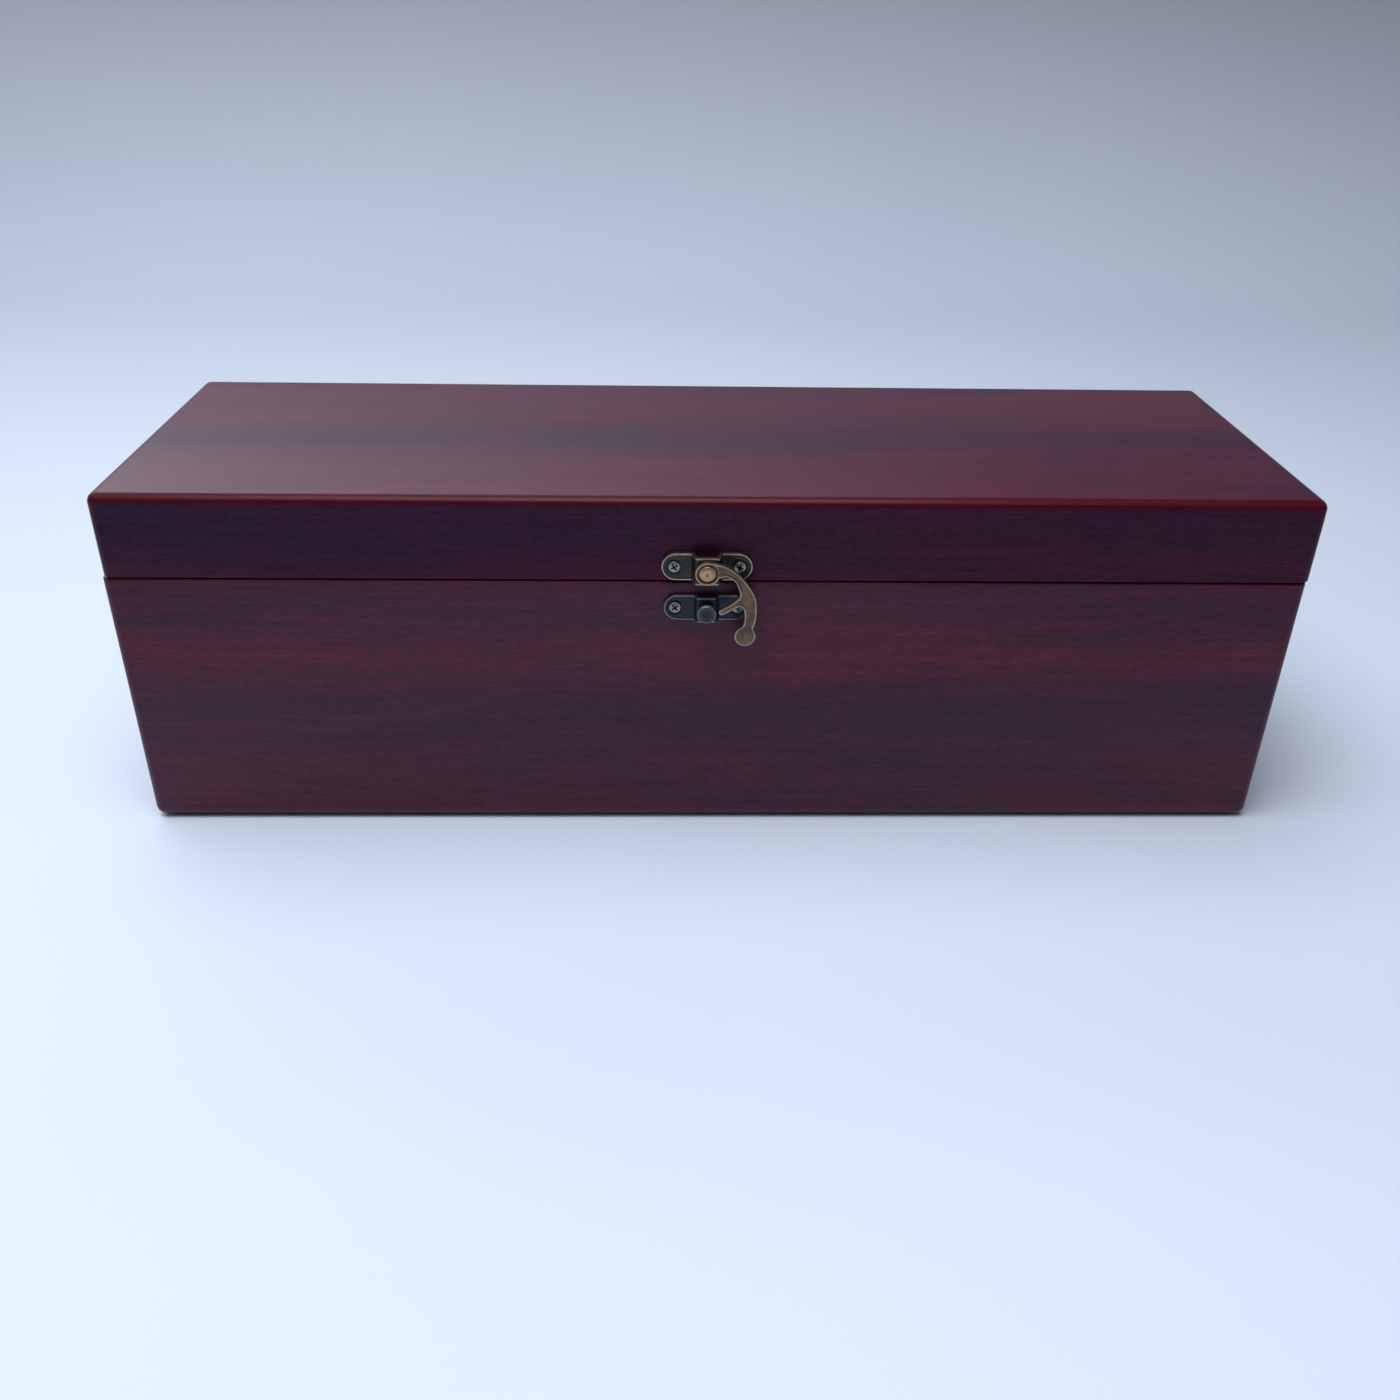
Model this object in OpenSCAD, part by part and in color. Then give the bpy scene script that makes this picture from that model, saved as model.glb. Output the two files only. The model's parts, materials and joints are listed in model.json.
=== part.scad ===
// Hinged wooden presentation box for one bottle, lying down: a rosewood-finished
// carcass sawn into base and lid, a swing-hook latch, two 95 degree stop hinges
// and a satin-covered lining with a bottle cradle and a neck rest.
// Millimetres. Z is up, the front (latch) side faces -Y, and the origin is the
// middle of the footprint on the table.

/* [Box] */
// Outside length, left to right
box_l = 360; // [345:5:400]
// Outside depth, front to back
box_d = 114; // [112:1:124]
// Height from the table to the top of the lid
box_h = 112; // [110:1:124]
// Height of the lid, from the middle of the seam to its top
lid_h = 26; // [24:1:30]
// Thickness of the boards that form the four walls
wall_t = 9; // [9:0.5:10]
// Thickness of the top and bottom boards
board_t = 6; // [5:0.5:7]
// Roundover radius of every outside edge
edge_r = 3; // [2:0.5:4]
// Gap between base and lid at the closed seam
seam_gap = 0.5; // [0.3:0.1:0.8]
// Distance that the lid sits to the right of the base
lid_shift = 0.5; // [0:0.1:0.8]

/* [Lining] */
// Thickness of the felt sheet under the base
felt_t = 1; // [0.8:0.1:1.5]
// Distance from the box's outside to the felt's edge
felt_inset = 6; // [5:1:12]
// Thickness of the fabric-wrapped wall linings
lining_t = 1.5; // [1:0.25:2]
// Distance that the wall linings stop short of the rim
lining_drop = 3; // [2:0.5:5]
// Thickness of the floor pad under the bottle's neck
floor_pad_t = 4; // [3:0.5:5]
// Thickness of the pad inside the lid
lid_pad_t = 5; // [3:0.5:6]

/* [Bottle bed] */
// Radius of the trough for the bottle's body
body_r = 39; // [36:0.5:39]
// Radius of the trough for the bottle's neck
neck_r = 16; // [15:0.5:18]
// Thickness of foam left under the body's trough
foam_under = 5; // [4:0.5:6]
// Length of the body cradle
cradle_l = 205; // [190:5:215]
// Height of the cradle's shoulders above the floor board
cradle_h = 37; // [34:1:38]
// Length of the neck rest along the bottle
neck_rest_l = 30; // [20:1:40]
// Height of the neck rest's shoulders above the floor pad
neck_rest_h = 38; // [34:1:39]

/* [Latch] */
// Position of the latch left or right of the middle
latch_x = -2; // [-5:0.5:5]
// Height of the hook's pivot above the seam
pivot_rise = 5.3; // [5:0.1:6]
// Depth of the catch stud below the seam
stud_drop = 7.9; // [7.5:0.1:8.5]
// Width of the hook's plate on the lid
plate_w = 27; // [26:0.5:30]
// Height of the hook's plate on the lid
plate_h = 8.6; // [8:0.1:9.4]
// Width of the catch plate on the base
catch_w = 25.6; // [25:0.2:28]
// Height of the catch plate on the base
catch_h = 8.2; // [7.5:0.1:9]
// Thickness of both cast plates
plate_t = 1.5; // [1.2:0.1:1.8]
// Thickness of the cast hook
hook_t = 1.6; // [1.4:0.1:2]

/* [Hinges] */
// Distance of each hinge from the middle of the box
hinge_x = 110; // [80:5:130]
// Width of a hinge along its pin
hinge_w = 30; // [28:1:36]
// Thickness of a hinge leaf
leaf_t = 1; // [0.8:0.1:1.2]
// Outside radius of the knuckles
knuckle_r = 2; // [1.8:0.1:2.2]
// Radius of the hinge pin
pin_r = 0.9; // [0.7:0.1:1]
// Angle at which the hinge's stop lips meet
open_angle = 95; // [90:1:100]

/* [Hidden] */

rosewood = "#4f1a24";
satin = "#d9c8a4";
bronze = "#5e5340";
felt = "#1c1a1c";

// Heights
seam_z = box_h - lid_h;
base_top = seam_z - seam_gap / 2;
lid_bottom = seam_z + seam_gap / 2;
floor_z = felt_t + board_t;
ceiling_z = box_h - board_t;
base_lining_top = base_top - lining_drop;
lid_lining_bottom = lid_bottom + lining_drop;
base_dx = -lid_shift / 2;
lid_dx = lid_shift / 2;

// Inside of the walls, and inside of their linings
room_l = box_l - 2 * wall_t;
room_d = box_d - 2 * wall_t;
bed_gap = 0.2;
bed_l = room_l - 2 * lining_t - 2 * bed_gap;
bed_d = room_d - 2 * lining_t - 2 * bed_gap;
bed_left = -bed_l / 2;
cradle_right = bed_left + cradle_l;
bottle_z = floor_z + foam_under + body_r;
neck_rest_right = bed_l / 2 - 42;

// Latch: distances out from the front face
hump_rise = 3.6;
hump_w = 6.6;
hump_slope = 1.4;
catch_rise = 2;
catch_hump_w = 5.2;
catch_hump_slope = 1.2;
hook_back = hump_rise + plate_t + 0.1;
hook_front = hook_back + hook_t;
pivot_r = 1.2;
running = 0.05;
eye_recess_r = 2.9;
eye_recess = 0.6;
rivet_head_r = 2.45;
rivet_head_t = 0.85;
tail_r = 1.9;
tail_t = 0.6;
stud_neck_r = 1.7;
stud_neck_l = 1.6;
stud_head_r = 2.8;
stud_head_t = 1.7;
plate_screw_x = 9.7;
catch_screw_x = 9.4;
pivot_z = seam_z + pivot_rise;
stud_z = seam_z - stud_drop;

// Hinges
pin_gap = 0.2;
pin_y = box_d / 2 + knuckle_r + pin_gap;
leaf_gap = 0.15;
leaf_front = box_d / 2 - 7;
leaf_back = box_d / 2 - 0.1;
centre_knuckle_w = hinge_w / 3;
knuckle_gap = 0.2;
tab_inset = 0.1;
lip_start = knuckle_r + 0.3;
lip_end = 5.2;
lip_angle = open_angle / 2 + 1;
pin_head_r = 1.35;
pin_head_t = 0.6;
hinge_screw_x = 9.5;
hinge_screw_y = (leaf_front + leaf_back) / 2;

// Screws
pilot_gap = 0.02;
plate_screw_r = 0.95;
plate_screw_head_r = 1.75;
plate_screw_l = 8;
hinge_screw_r = 0.85;
hinge_screw_head_r = 1.6;
hinge_screw_l = 8;
screw_point_l = 2;
screw_slot_w = 0.5;
screw_slot_depth = 0.5;

// Hook outline, from its pivot: [x, y, half width] along the arm, then the claw.
arm_stations = [
    [0.3, 1.55, 2.1], [4, 0.85, 2], [6, 0.45, 1.45], [8.95, -1.6, 1.2], [11.2, -5.3, 1.75],
    [12.2, -8.6, 2.3], [12.9, -11.6, 1.9], [12.95, -14.5, 1.7], [12.4, -17.3, 1.6],
    [11.8, -19.2, 1.5]
];
claw_stations = [
    [12, -8.2, 2.2], [10.2, -8.9, 1.6], [8.6, -9.75, 1.1], [7.2, -10.6, 0.95],
    [5.6, -11.6, 0.95], [4.45, -12.25, 0.95]
];
eye_r = 3.65;
tab_centre = [11.55, -20.3];
tab_r = 3.2;

module wood() { color(rosewood) children(); }
module metal() { color(bronze) children(); }
module fabric() { color(satin) children(); }

// ---------- Wooden carcass ----------

// Rectangle with true round corners
module rounded_rect(w, h, r) {
    square([w - 2 * r, h], center = true);
    square([w, h - 2 * r], center = true);
    for (sx = [-1, 1], sy = [-1, 1])
        translate([sx * (w / 2 - r), sy * (h / 2 - r)]) circle(r = r, $fn = 64);
}

// The whole closed box as one solid block with every outside edge rounded over
module carcass() {
    h = box_h - felt_t;
    middle = felt_t + h / 2;
    intersection() {
        translate([0, 0, felt_t]) linear_extrude(h) rounded_rect(box_l, box_d, edge_r);
        translate([0, 0, middle]) rotate([90, 0, 90])
            linear_extrude(box_l, center = true) rounded_rect(box_d, h, edge_r);
        translate([0, 0, middle]) rotate([90, 0, 0])
            linear_extrude(box_d, center = true) rounded_rect(box_l, h, edge_r);
    }
}

// Plan of one wall, cut at 45 degrees at both ends; span is its outside length
module mitred_wall(span, across, z0, z1) {
    translate([0, 0, z0]) linear_extrude(z1 - z0)
        polygon([
            [-span / 2, -across / 2], [span / 2, -across / 2],
            [span / 2 - wall_t, -across / 2 + wall_t], [-span / 2 + wall_t, -across / 2 + wall_t]
        ]);
}

module long_wall(z0, z1) {
    intersection() {
        carcass();
        mitred_wall(box_l, box_d, z0, z1);
    }
}

module end_wall(z0, z1) {
    intersection() {
        carcass();
        rotate([0, 0, -90]) mitred_wall(box_d, box_l, z0, z1);
    }
}

// Recesses in the rim for the two hinge leaves, from z0 to z1
module leaf_recesses(z0, z1, dx) {
    for (side = [-1, 1])
        translate([side * hinge_x - hinge_w / 2 - 0.1 - dx, leaf_front - 0.1, z0])
            cube([hinge_w + 0.2, box_d, z1 - z0]);
}

// Pilot holes for the hinge screws, running down from the seam, or up
module hinge_pilots(up, dx) {
    for (side = [-1, 1], s = [-1, 1])
        translate([side * hinge_x + s * hinge_screw_x - dx, hinge_screw_y, seam_z])
            mirror([0, 0, up ? 1 : 0])
                translate([0, 0, -hinge_screw_l - 0.5])
                    cylinder(h = hinge_screw_l + 1, r = hinge_screw_r + pilot_gap, $fn = 32);
}

// Pilot holes for a latch plate's two screws, drilled in from the front face
module latch_pilots(z, spread, dx) {
    for (s = [-1, 1])
        translate([latch_x + s * spread - dx, -box_d / 2, z])
            rotate([-90, 0, 0])
                translate([0, 0, -1])
                    cylinder(h = plate_screw_l + 0.8, r = plate_screw_r + pilot_gap, $fn = 32);
}

module base_front_panel() {
    translate([base_dx, 0, 0]) wood() difference() {
        long_wall(floor_z, base_top);
        latch_pilots(stud_z, catch_screw_x, base_dx);
    }
}

module base_back_panel() {
    translate([base_dx, 0, 0]) wood() difference() {
        rotate([0, 0, 180]) long_wall(floor_z, base_top);
        leaf_recesses(seam_z - leaf_gap - leaf_t, seam_z, base_dx);
        hinge_pilots(false, base_dx);
    }
}

module base_left_panel() {
    translate([base_dx, 0, 0]) wood() end_wall(floor_z, base_top);
}

module base_right_panel() {
    translate([base_dx, 0, 0]) wood() rotate([0, 0, 180]) end_wall(floor_z, base_top);
}

// Slice of the carcass over its whole plan, for the top and bottom boards
module carcass_slice(z0, z1) {
    intersection() {
        carcass();
        translate([-box_l, -box_d, z0]) cube([2 * box_l, 2 * box_d, z1 - z0]);
    }
}

module base_bottom_board() {
    translate([base_dx, 0, 0]) wood() carcass_slice(0, floor_z);
}

module base_felt() {
    translate([base_dx, 0, 0]) color(felt)
        linear_extrude(felt_t) rounded_rect(box_l - 2 * felt_inset, box_d - 2 * felt_inset, edge_r);
}

module lid_top_board() {
    translate([lid_dx, 0, 0]) wood() carcass_slice(ceiling_z, box_h + 1);
}

module lid_front_rail() {
    translate([lid_dx, 0, 0]) wood() difference() {
        long_wall(lid_bottom, ceiling_z);
        latch_pilots(pivot_z, plate_screw_x, lid_dx);
    }
}

module lid_back_rail() {
    translate([lid_dx, 0, 0]) wood() difference() {
        rotate([0, 0, 180]) long_wall(lid_bottom, ceiling_z);
        leaf_recesses(seam_z, seam_z + leaf_gap + leaf_t, lid_dx);
        hinge_pilots(true, lid_dx);
    }
}

module lid_left_rail() {
    translate([lid_dx, 0, 0]) wood() end_wall(lid_bottom, ceiling_z);
}

module lid_right_rail() {
    translate([lid_dx, 0, 0]) wood() rotate([0, 0, 180]) end_wall(lid_bottom, ceiling_z);
}

// ---------- Lining and bottle bed ----------

// Card lining wrapped in satin along a long wall; side is -1 at the front, 1 at the back
module long_lining(side, z0, z1) {
    fabric() translate([-room_l / 2, side * (room_d - lining_t) / 2 - lining_t / 2, z0])
        cube([room_l, lining_t, z1 - z0]);
}

// The same along an end wall, between the long linings; side is -1 at the left
module end_lining(side, z0, z1) {
    fabric() translate([side * (room_l - lining_t) / 2 - lining_t / 2, -room_d / 2 + lining_t, z0])
        cube([lining_t, room_d - 2 * lining_t, z1 - z0]);
}

module base_front_lining() { translate([base_dx, 0, 0]) long_lining(-1, floor_z, base_lining_top); }
module base_back_lining() { translate([base_dx, 0, 0]) long_lining(1, floor_z, base_lining_top); }
module base_left_lining() { translate([base_dx, 0, 0]) end_lining(-1, floor_z, base_lining_top); }
module base_right_lining() { translate([base_dx, 0, 0]) end_lining(1, floor_z, base_lining_top); }
module lid_front_lining() { translate([lid_dx, 0, 0]) long_lining(-1, lid_lining_bottom, ceiling_z); }
module lid_back_lining() { translate([lid_dx, 0, 0]) long_lining(1, lid_lining_bottom, ceiling_z); }
module lid_left_lining() { translate([lid_dx, 0, 0]) end_lining(-1, lid_lining_bottom, ceiling_z); }
module lid_right_lining() { translate([lid_dx, 0, 0]) end_lining(1, lid_lining_bottom, ceiling_z); }

module floor_pad() {
    pad_left = cradle_right + bed_gap;
    translate([base_dx, 0, 0]) fabric()
        translate([pad_left, -bed_d / 2, floor_z]) cube([bed_l / 2 - pad_left, bed_d, floor_pad_t]);
}

module lid_pad() {
    translate([lid_dx, 0, 0]) fabric()
        translate([-bed_l / 2, -bed_d / 2, ceiling_z - lid_pad_t]) cube([bed_l, bed_d, lid_pad_t]);
}

// Foam block across the box with a round trough along the bottle's axis
module trough_block(left, length, z0, height, trough_r) {
    fabric() difference() {
        translate([left, -bed_d / 2, z0]) cube([length, bed_d, height]);
        translate([left - 1, 0, bottle_z]) rotate([0, 90, 0])
            cylinder(h = length + 2, r = trough_r, $fn = 96);
    }
}

module bottle_cradle() {
    translate([base_dx, 0, 0]) trough_block(bed_left, cradle_l, floor_z, cradle_h, body_r);
}

module neck_rest() {
    left = neck_rest_right - neck_rest_l;
    translate([base_dx, 0, 0])
        trough_block(left, neck_rest_l, floor_z + floor_pad_t, neck_rest_h, neck_r);
}

// ---------- Screws ----------

// Countersunk, raised-head cross-slot screw: its head's rim is at z = 0 and it points down
module screw(head_r, shank_r, length, dome) {
    cone_h = head_r - shank_r;
    difference() {
        rotate_extrude($fn = 48) polygon([
            [0, -length], [shank_r, -length + screw_point_l], [shank_r, -cone_h], [head_r, 0],
            [head_r * 0.9, dome * 0.4], [head_r * 0.6, dome * 0.8], [0, dome]
        ]);
        for (turn = [0, 90])
            rotate([0, 0, turn])
                translate([-head_r * 0.62, -screw_slot_w / 2, dome - screw_slot_depth])
                    cube([head_r * 1.24, screw_slot_w, 1]);
    }
}

// Countersunk hole for it, through a sheet whose top is at z = 0
module screw_hole(head_r, shank_r) {
    cone_h = head_r - shank_r;
    translate([0, 0, -5]) cylinder(h = 6, r = shank_r + running, $fn = 48);
    translate([0, 0, -cone_h - running])
        cylinder(h = cone_h + 2 * running, r1 = shank_r, r2 = head_r + 2 * running, $fn = 48);
}

// ---------- Swing-hook latch, drawn with its face up and moved to the front ----------

// Puts a child drawn in the latch's own frame (x right, y up, z out) at height z on the front
module on_front(z) {
    translate([latch_x, -box_d / 2, z]) rotate([90, 0, 0]) children();
}

// Plate outline: a bar with half-round ends
module plate_outline(w, h) {
    square([w - h, h], center = true);
    for (s = [-1, 1]) translate([s * (w - h) / 2, 0]) circle(d = h, $fn = 64);
}

// Side view of a plate: flat ends and a bridge in the middle, raised and hollow behind
module plate_section(w, rise, top_w, slope) {
    out = top_w / 2;
    foot = out + slope;
    thin = 0.5 * plate_t;
    polygon([
        [-w / 2, 0], [-foot + thin, 0], [-out + thin, rise],
        [out - thin, rise], [foot - thin, 0], [w / 2, 0],
        [w / 2, plate_t], [foot, plate_t], [out, rise + plate_t],
        [-out, rise + plate_t], [-foot, plate_t], [-w / 2, plate_t]
    ]);
}

module bridged_plate(w, h, rise, top_w, slope, screw_x) {
    metal() difference() {
        intersection() {
            linear_extrude(rise + 3) plate_outline(w, h);
            rotate([90, 0, 0]) linear_extrude(h + 2, center = true)
                plate_section(w, rise, top_w, slope);
        }
        cylinder(h = rise + 3, r = pivot_r + pilot_gap, $fn = 48);
        for (s = [-1, 1])
            translate([s * screw_x, 0, plate_t]) screw_hole(plate_screw_head_r, plate_screw_r);
    }
}

module plate_screws(screw_x) {
    metal() for (s = [-1, 1])
        translate([s * screw_x, 0, plate_t]) rotate([0, 0, 25 + 40 * s])
            screw(plate_screw_head_r, plate_screw_r, plate_screw_l, 0.3);
}

// Turned post riveted through a plate whose back is at height: clenched tail, shank, then
// [radius, height] steps
module clenched_post(height, steps) {
    metal() rotate_extrude($fn = 64) polygon(concat(
        [[0, height - tail_t], [tail_r, height - tail_t], [tail_r, height], [pivot_r, height]],
        steps
    ));
}

module latch_plate() {
    on_front(pivot_z)
        bridged_plate(plate_w, plate_h, hump_rise, hump_w, hump_slope, plate_screw_x);
}

module catch_plate() {
    on_front(stud_z)
        bridged_plate(catch_w, catch_h, catch_rise, catch_hump_w, catch_hump_slope, catch_screw_x);
}

module latch_plate_screws() { on_front(pivot_z) plate_screws(plate_screw_x); }
module catch_plate_screws() { on_front(stud_z) plate_screws(catch_screw_x); }

module latch_rivet() {
    under = hook_front - eye_recess + running;
    rim_t = 0.35;
    dome = [for (a = [0:15:75])
        [rivet_head_r * cos(a), under + rim_t + (rivet_head_t - rim_t) * sin(a)]];
    on_front(pivot_z) clenched_post(hump_rise, concat(
        [[pivot_r, under], [rivet_head_r, under]],
        dome,
        [[0.45, under + rivet_head_t], [0, under + rivet_head_t - 0.3]]
    ));
}

module catch_stud() {
    base = catch_rise + plate_t;
    neck_top = base + stud_neck_l;
    head_top = neck_top + stud_head_t;
    on_front(stud_z) clenched_post(catch_rise, [
        [pivot_r, base], [stud_neck_r, base], [stud_neck_r, neck_top],
        [stud_head_r - 0.25, neck_top], [stud_head_r, neck_top + 0.25],
        [stud_head_r, head_top - 0.35], [stud_head_r - 0.35, head_top], [0, head_top]
    ]);
}

// Smooth curve through four stations, at t from 0 to 1 between the middle two
function blend4(a, b, c, d, t) =
    0.5 * (2 * b + (c - a) * t + (2 * a - 5 * b + 4 * c - d) * t * t
        + (3 * b - a - 3 * c + d) * t * t * t);

// Stations with three more put in between each pair
function smooth(st, steps = 4) = let (n = len(st) - 1) concat(
    [for (i = [0:n - 1], k = [0:steps - 1])
        blend4(st[max(i - 1, 0)], st[i], st[i + 1], st[min(i + 2, n)], k / steps)],
    [st[n]]
);

// Point at half width to one side (1 left, -1 right) of station i
function edge_point(st, i, side) =
    let (
        run = st[min(i + 1, len(st) - 1)] - st[max(i - 1, 0)],
        size = norm([run[0], run[1]])
    )
    [st[i][0] - side * run[1] / size * st[i][2], st[i][1] + side * run[0] / size * st[i][2]];

// Bar that follows the stations, with a round far end
module tapered_bar(stations) {
    st = smooth(stations);
    n = len(st) - 1;
    end = st[n];
    heading = atan2(end[1] - st[n - 1][1], end[0] - st[n - 1][0]);
    polygon(concat(
        [for (i = [0:n - 1]) edge_point(st, i, 1)],
        [for (a = [90:-20:-90])
            [end[0] + end[2] * cos(heading + a), end[1] + end[2] * sin(heading + a)]],
        [for (i = [n - 1:-1:0]) edge_point(st, i, -1)]
    ));
}

module latch_hook() {
    on_front(pivot_z) translate([0, 0, hook_back]) metal() difference() {
        union() {
            cylinder(h = hook_t, r = eye_r, $fn = 96);
            linear_extrude(hook_t) tapered_bar(arm_stations);
            linear_extrude(hook_t) tapered_bar(claw_stations);
            translate(tab_centre) cylinder(h = hook_t, r = tab_r, $fn = 96);
        }
        translate([0, 0, -1]) cylinder(h = hook_t + 2, r = pivot_r + running, $fn = 48);
        translate([0, 0, hook_t - eye_recess]) cylinder(h = 1, r = eye_recess_r, $fn = 64);
    }
}

// ---------- Stop hinges ----------

// Strip as wide as the hinge from free_edge to near_edge, with tabs that reach on into the
// knuckles: two outer ones if outer is true, one in the centre if not
module tabbed_strip(outer, free_edge, near_edge, tab_end) {
    half = hinge_w / 2;
    side = half - tab_inset;
    gap = centre_knuckle_w / 2 + (outer ? 1 : -1) * (knuckle_gap / 2 + tab_inset);
    polygon(outer
        ? [[-half, free_edge], [half, free_edge], [half, near_edge], [side, near_edge],
           [side, tab_end], [gap, tab_end], [gap, near_edge], [-gap, near_edge],
           [-gap, tab_end], [-side, tab_end], [-side, near_edge], [-half, near_edge]]
        : [[-half, free_edge], [half, free_edge], [half, near_edge], [gap, near_edge],
           [gap, tab_end], [-gap, tab_end], [-gap, near_edge], [-half, near_edge]]
    );
}

// Half of a hinge, drawn about its pin as the lower (base) half: x along the pin, y back, z up.
// The lip behind the pin meets the other half's lip when the hinge is fully open.
module hinge_half(outer) {
    half = hinge_w / 2;
    inner = (centre_knuckle_w + knuckle_gap) / 2;
    knuckles = outer ? [[-half, -inner], [inner, half]] : [[knuckle_gap - inner, inner - knuckle_gap]];
    metal() difference() {
        union() {
            translate([0, 0, -leaf_gap - leaf_t]) linear_extrude(leaf_t)
                tabbed_strip(outer, leaf_front - pin_y, leaf_back - pin_y, -0.5);
            rotate([-lip_angle, 0, 0]) translate([0, 0, -leaf_t]) linear_extrude(leaf_t)
                tabbed_strip(outer, lip_end, lip_start, knuckle_r - 0.7);
            for (k = knuckles)
                translate([k[0], 0, 0]) rotate([0, 90, 0])
                    cylinder(h = k[1] - k[0], r = knuckle_r, $fn = 48);
        }
        translate([-half - 1, 0, 0]) rotate([0, 90, 0])
            cylinder(h = hinge_w + 2, r = pin_r + running, $fn = 32);
        for (s = [-1, 1])
            translate([s * hinge_screw_x, hinge_screw_y - pin_y, -leaf_gap])
                screw_hole(hinge_screw_head_r, hinge_screw_r);
    }
}

module hinge_pin() {
    half = hinge_w / 2;
    metal() rotate([0, 90, 0]) rotate_extrude($fn = 48) polygon([
        [0, -half - pin_head_t - 0.1], [pin_head_r * 0.7, -half - pin_head_t - 0.1],
        [pin_head_r, -half - pin_head_t / 2], [pin_head_r, -half - 0.05], [pin_r, -half - 0.05],
        [pin_r, half + 0.05], [pin_head_r, half + 0.05], [pin_head_r, half + pin_head_t / 2],
        [pin_head_r * 0.7, half + pin_head_t + 0.1], [0, half + pin_head_t + 0.1]
    ]);
}

module at_pin(side) { translate([side * hinge_x, pin_y, seam_z]) children(); }

module left_hinge_base_leaf() { at_pin(-1) hinge_half(true); }
module right_hinge_base_leaf() { at_pin(1) hinge_half(true); }
module left_hinge_lid_leaf() { at_pin(-1) mirror([0, 0, 1]) hinge_half(false); }
module right_hinge_lid_leaf() { at_pin(1) mirror([0, 0, 1]) hinge_half(false); }
module left_hinge_pin() { at_pin(-1) hinge_pin(); }
module right_hinge_pin() { at_pin(1) hinge_pin(); }

// Four screws of one kind, heads at the leaves' faces; up turns them over for the lid
module hinge_screws(up) {
    metal() for (side = [-1, 1], s = [-1, 1])
        translate([side * hinge_x + s * hinge_screw_x, hinge_screw_y, seam_z])
            mirror([0, 0, up ? 1 : 0])
                translate([0, 0, -leaf_gap - 0.05]) rotate([0, 0, 20 * s + 15 * side])
                    screw(hinge_screw_head_r, hinge_screw_r, hinge_screw_l, 0.02);
}

module hinge_base_screws() { hinge_screws(false); }
module hinge_lid_screws() { hinge_screws(true); }

base_front_panel();
base_back_panel();
base_left_panel();
base_right_panel();
base_bottom_board();
base_felt();
base_front_lining();
base_back_lining();
base_left_lining();
base_right_lining();
floor_pad();
bottle_cradle();
neck_rest();
catch_plate();
catch_stud();
catch_plate_screws();
left_hinge_base_leaf();
right_hinge_base_leaf();
left_hinge_pin();
right_hinge_pin();
hinge_base_screws();
lid_top_board();
lid_front_rail();
lid_back_rail();
lid_left_rail();
lid_right_rail();
lid_pad();
lid_front_lining();
lid_back_lining();
lid_left_lining();
lid_right_lining();
latch_plate();
latch_rivet();
latch_plate_screws();
left_hinge_lid_leaf();
right_hinge_lid_leaf();
hinge_lid_screws();
latch_hook();
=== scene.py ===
"""Looks of the wooden bottle presentation box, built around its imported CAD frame."""

import json
import math

import bmesh
import bpy
import numpy as np
from mathutils import Matrix, Vector, geometry, noise

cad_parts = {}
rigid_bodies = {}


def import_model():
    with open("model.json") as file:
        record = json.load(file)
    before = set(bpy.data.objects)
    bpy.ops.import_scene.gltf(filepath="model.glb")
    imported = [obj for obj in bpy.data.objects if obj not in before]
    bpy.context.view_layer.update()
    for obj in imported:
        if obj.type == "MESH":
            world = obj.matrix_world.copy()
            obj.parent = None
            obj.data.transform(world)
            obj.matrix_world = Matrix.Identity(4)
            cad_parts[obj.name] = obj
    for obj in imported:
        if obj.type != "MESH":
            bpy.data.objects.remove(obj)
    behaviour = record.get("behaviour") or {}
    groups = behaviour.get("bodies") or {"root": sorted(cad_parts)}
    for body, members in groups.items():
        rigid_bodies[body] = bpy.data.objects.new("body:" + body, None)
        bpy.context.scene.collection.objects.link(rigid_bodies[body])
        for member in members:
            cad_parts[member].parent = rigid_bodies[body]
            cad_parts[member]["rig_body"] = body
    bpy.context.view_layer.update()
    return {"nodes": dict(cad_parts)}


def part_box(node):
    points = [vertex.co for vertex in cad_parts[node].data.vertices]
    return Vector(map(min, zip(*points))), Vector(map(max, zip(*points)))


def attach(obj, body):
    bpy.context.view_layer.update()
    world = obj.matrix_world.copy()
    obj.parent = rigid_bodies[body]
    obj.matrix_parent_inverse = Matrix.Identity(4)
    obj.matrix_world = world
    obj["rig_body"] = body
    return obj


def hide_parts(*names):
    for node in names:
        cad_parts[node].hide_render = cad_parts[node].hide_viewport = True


MM = 0.001

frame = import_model()
NODES = frame["nodes"]


def link(obj):
    """Puts an object in the scene."""
    bpy.context.scene.collection.objects.link(obj)
    return obj


# ---------- Camera ----------

CAMERA_AT = Vector((-0.0149, -0.4065, 0.2478))
PITCH, YAW, ROLL = (math.radians(a) for a in (30.079, -1.898, 1.067))
LENS = 33.18


def make_camera():
    right = Vector((math.cos(YAW), math.sin(YAW), 0))
    ahead = Vector(
        (-math.sin(YAW) * math.cos(PITCH), math.cos(YAW) * math.cos(PITCH), -math.sin(PITCH))
    )
    up = right.cross(ahead)
    side = right * math.cos(ROLL) + up * math.sin(ROLL)
    top = up * math.cos(ROLL) - right * math.sin(ROLL)
    data = bpy.data.cameras.new("camera")
    data.lens = LENS
    data.sensor_width = 36
    data.clip_start = 0.01
    data.clip_end = 50
    cam = link(bpy.data.objects.new("camera", data))
    turn = Matrix((side, top, -ahead)).transposed().to_4x4()
    cam.matrix_world = Matrix.Translation(CAMERA_AT) @ turn
    bpy.context.scene.camera = cam


# ---------- Node helpers ----------


def new_material(name):
    mat = bpy.data.materials.new(name)
    mat.use_nodes = True
    mat.node_tree.nodes.clear()
    return mat, mat.node_tree


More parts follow.
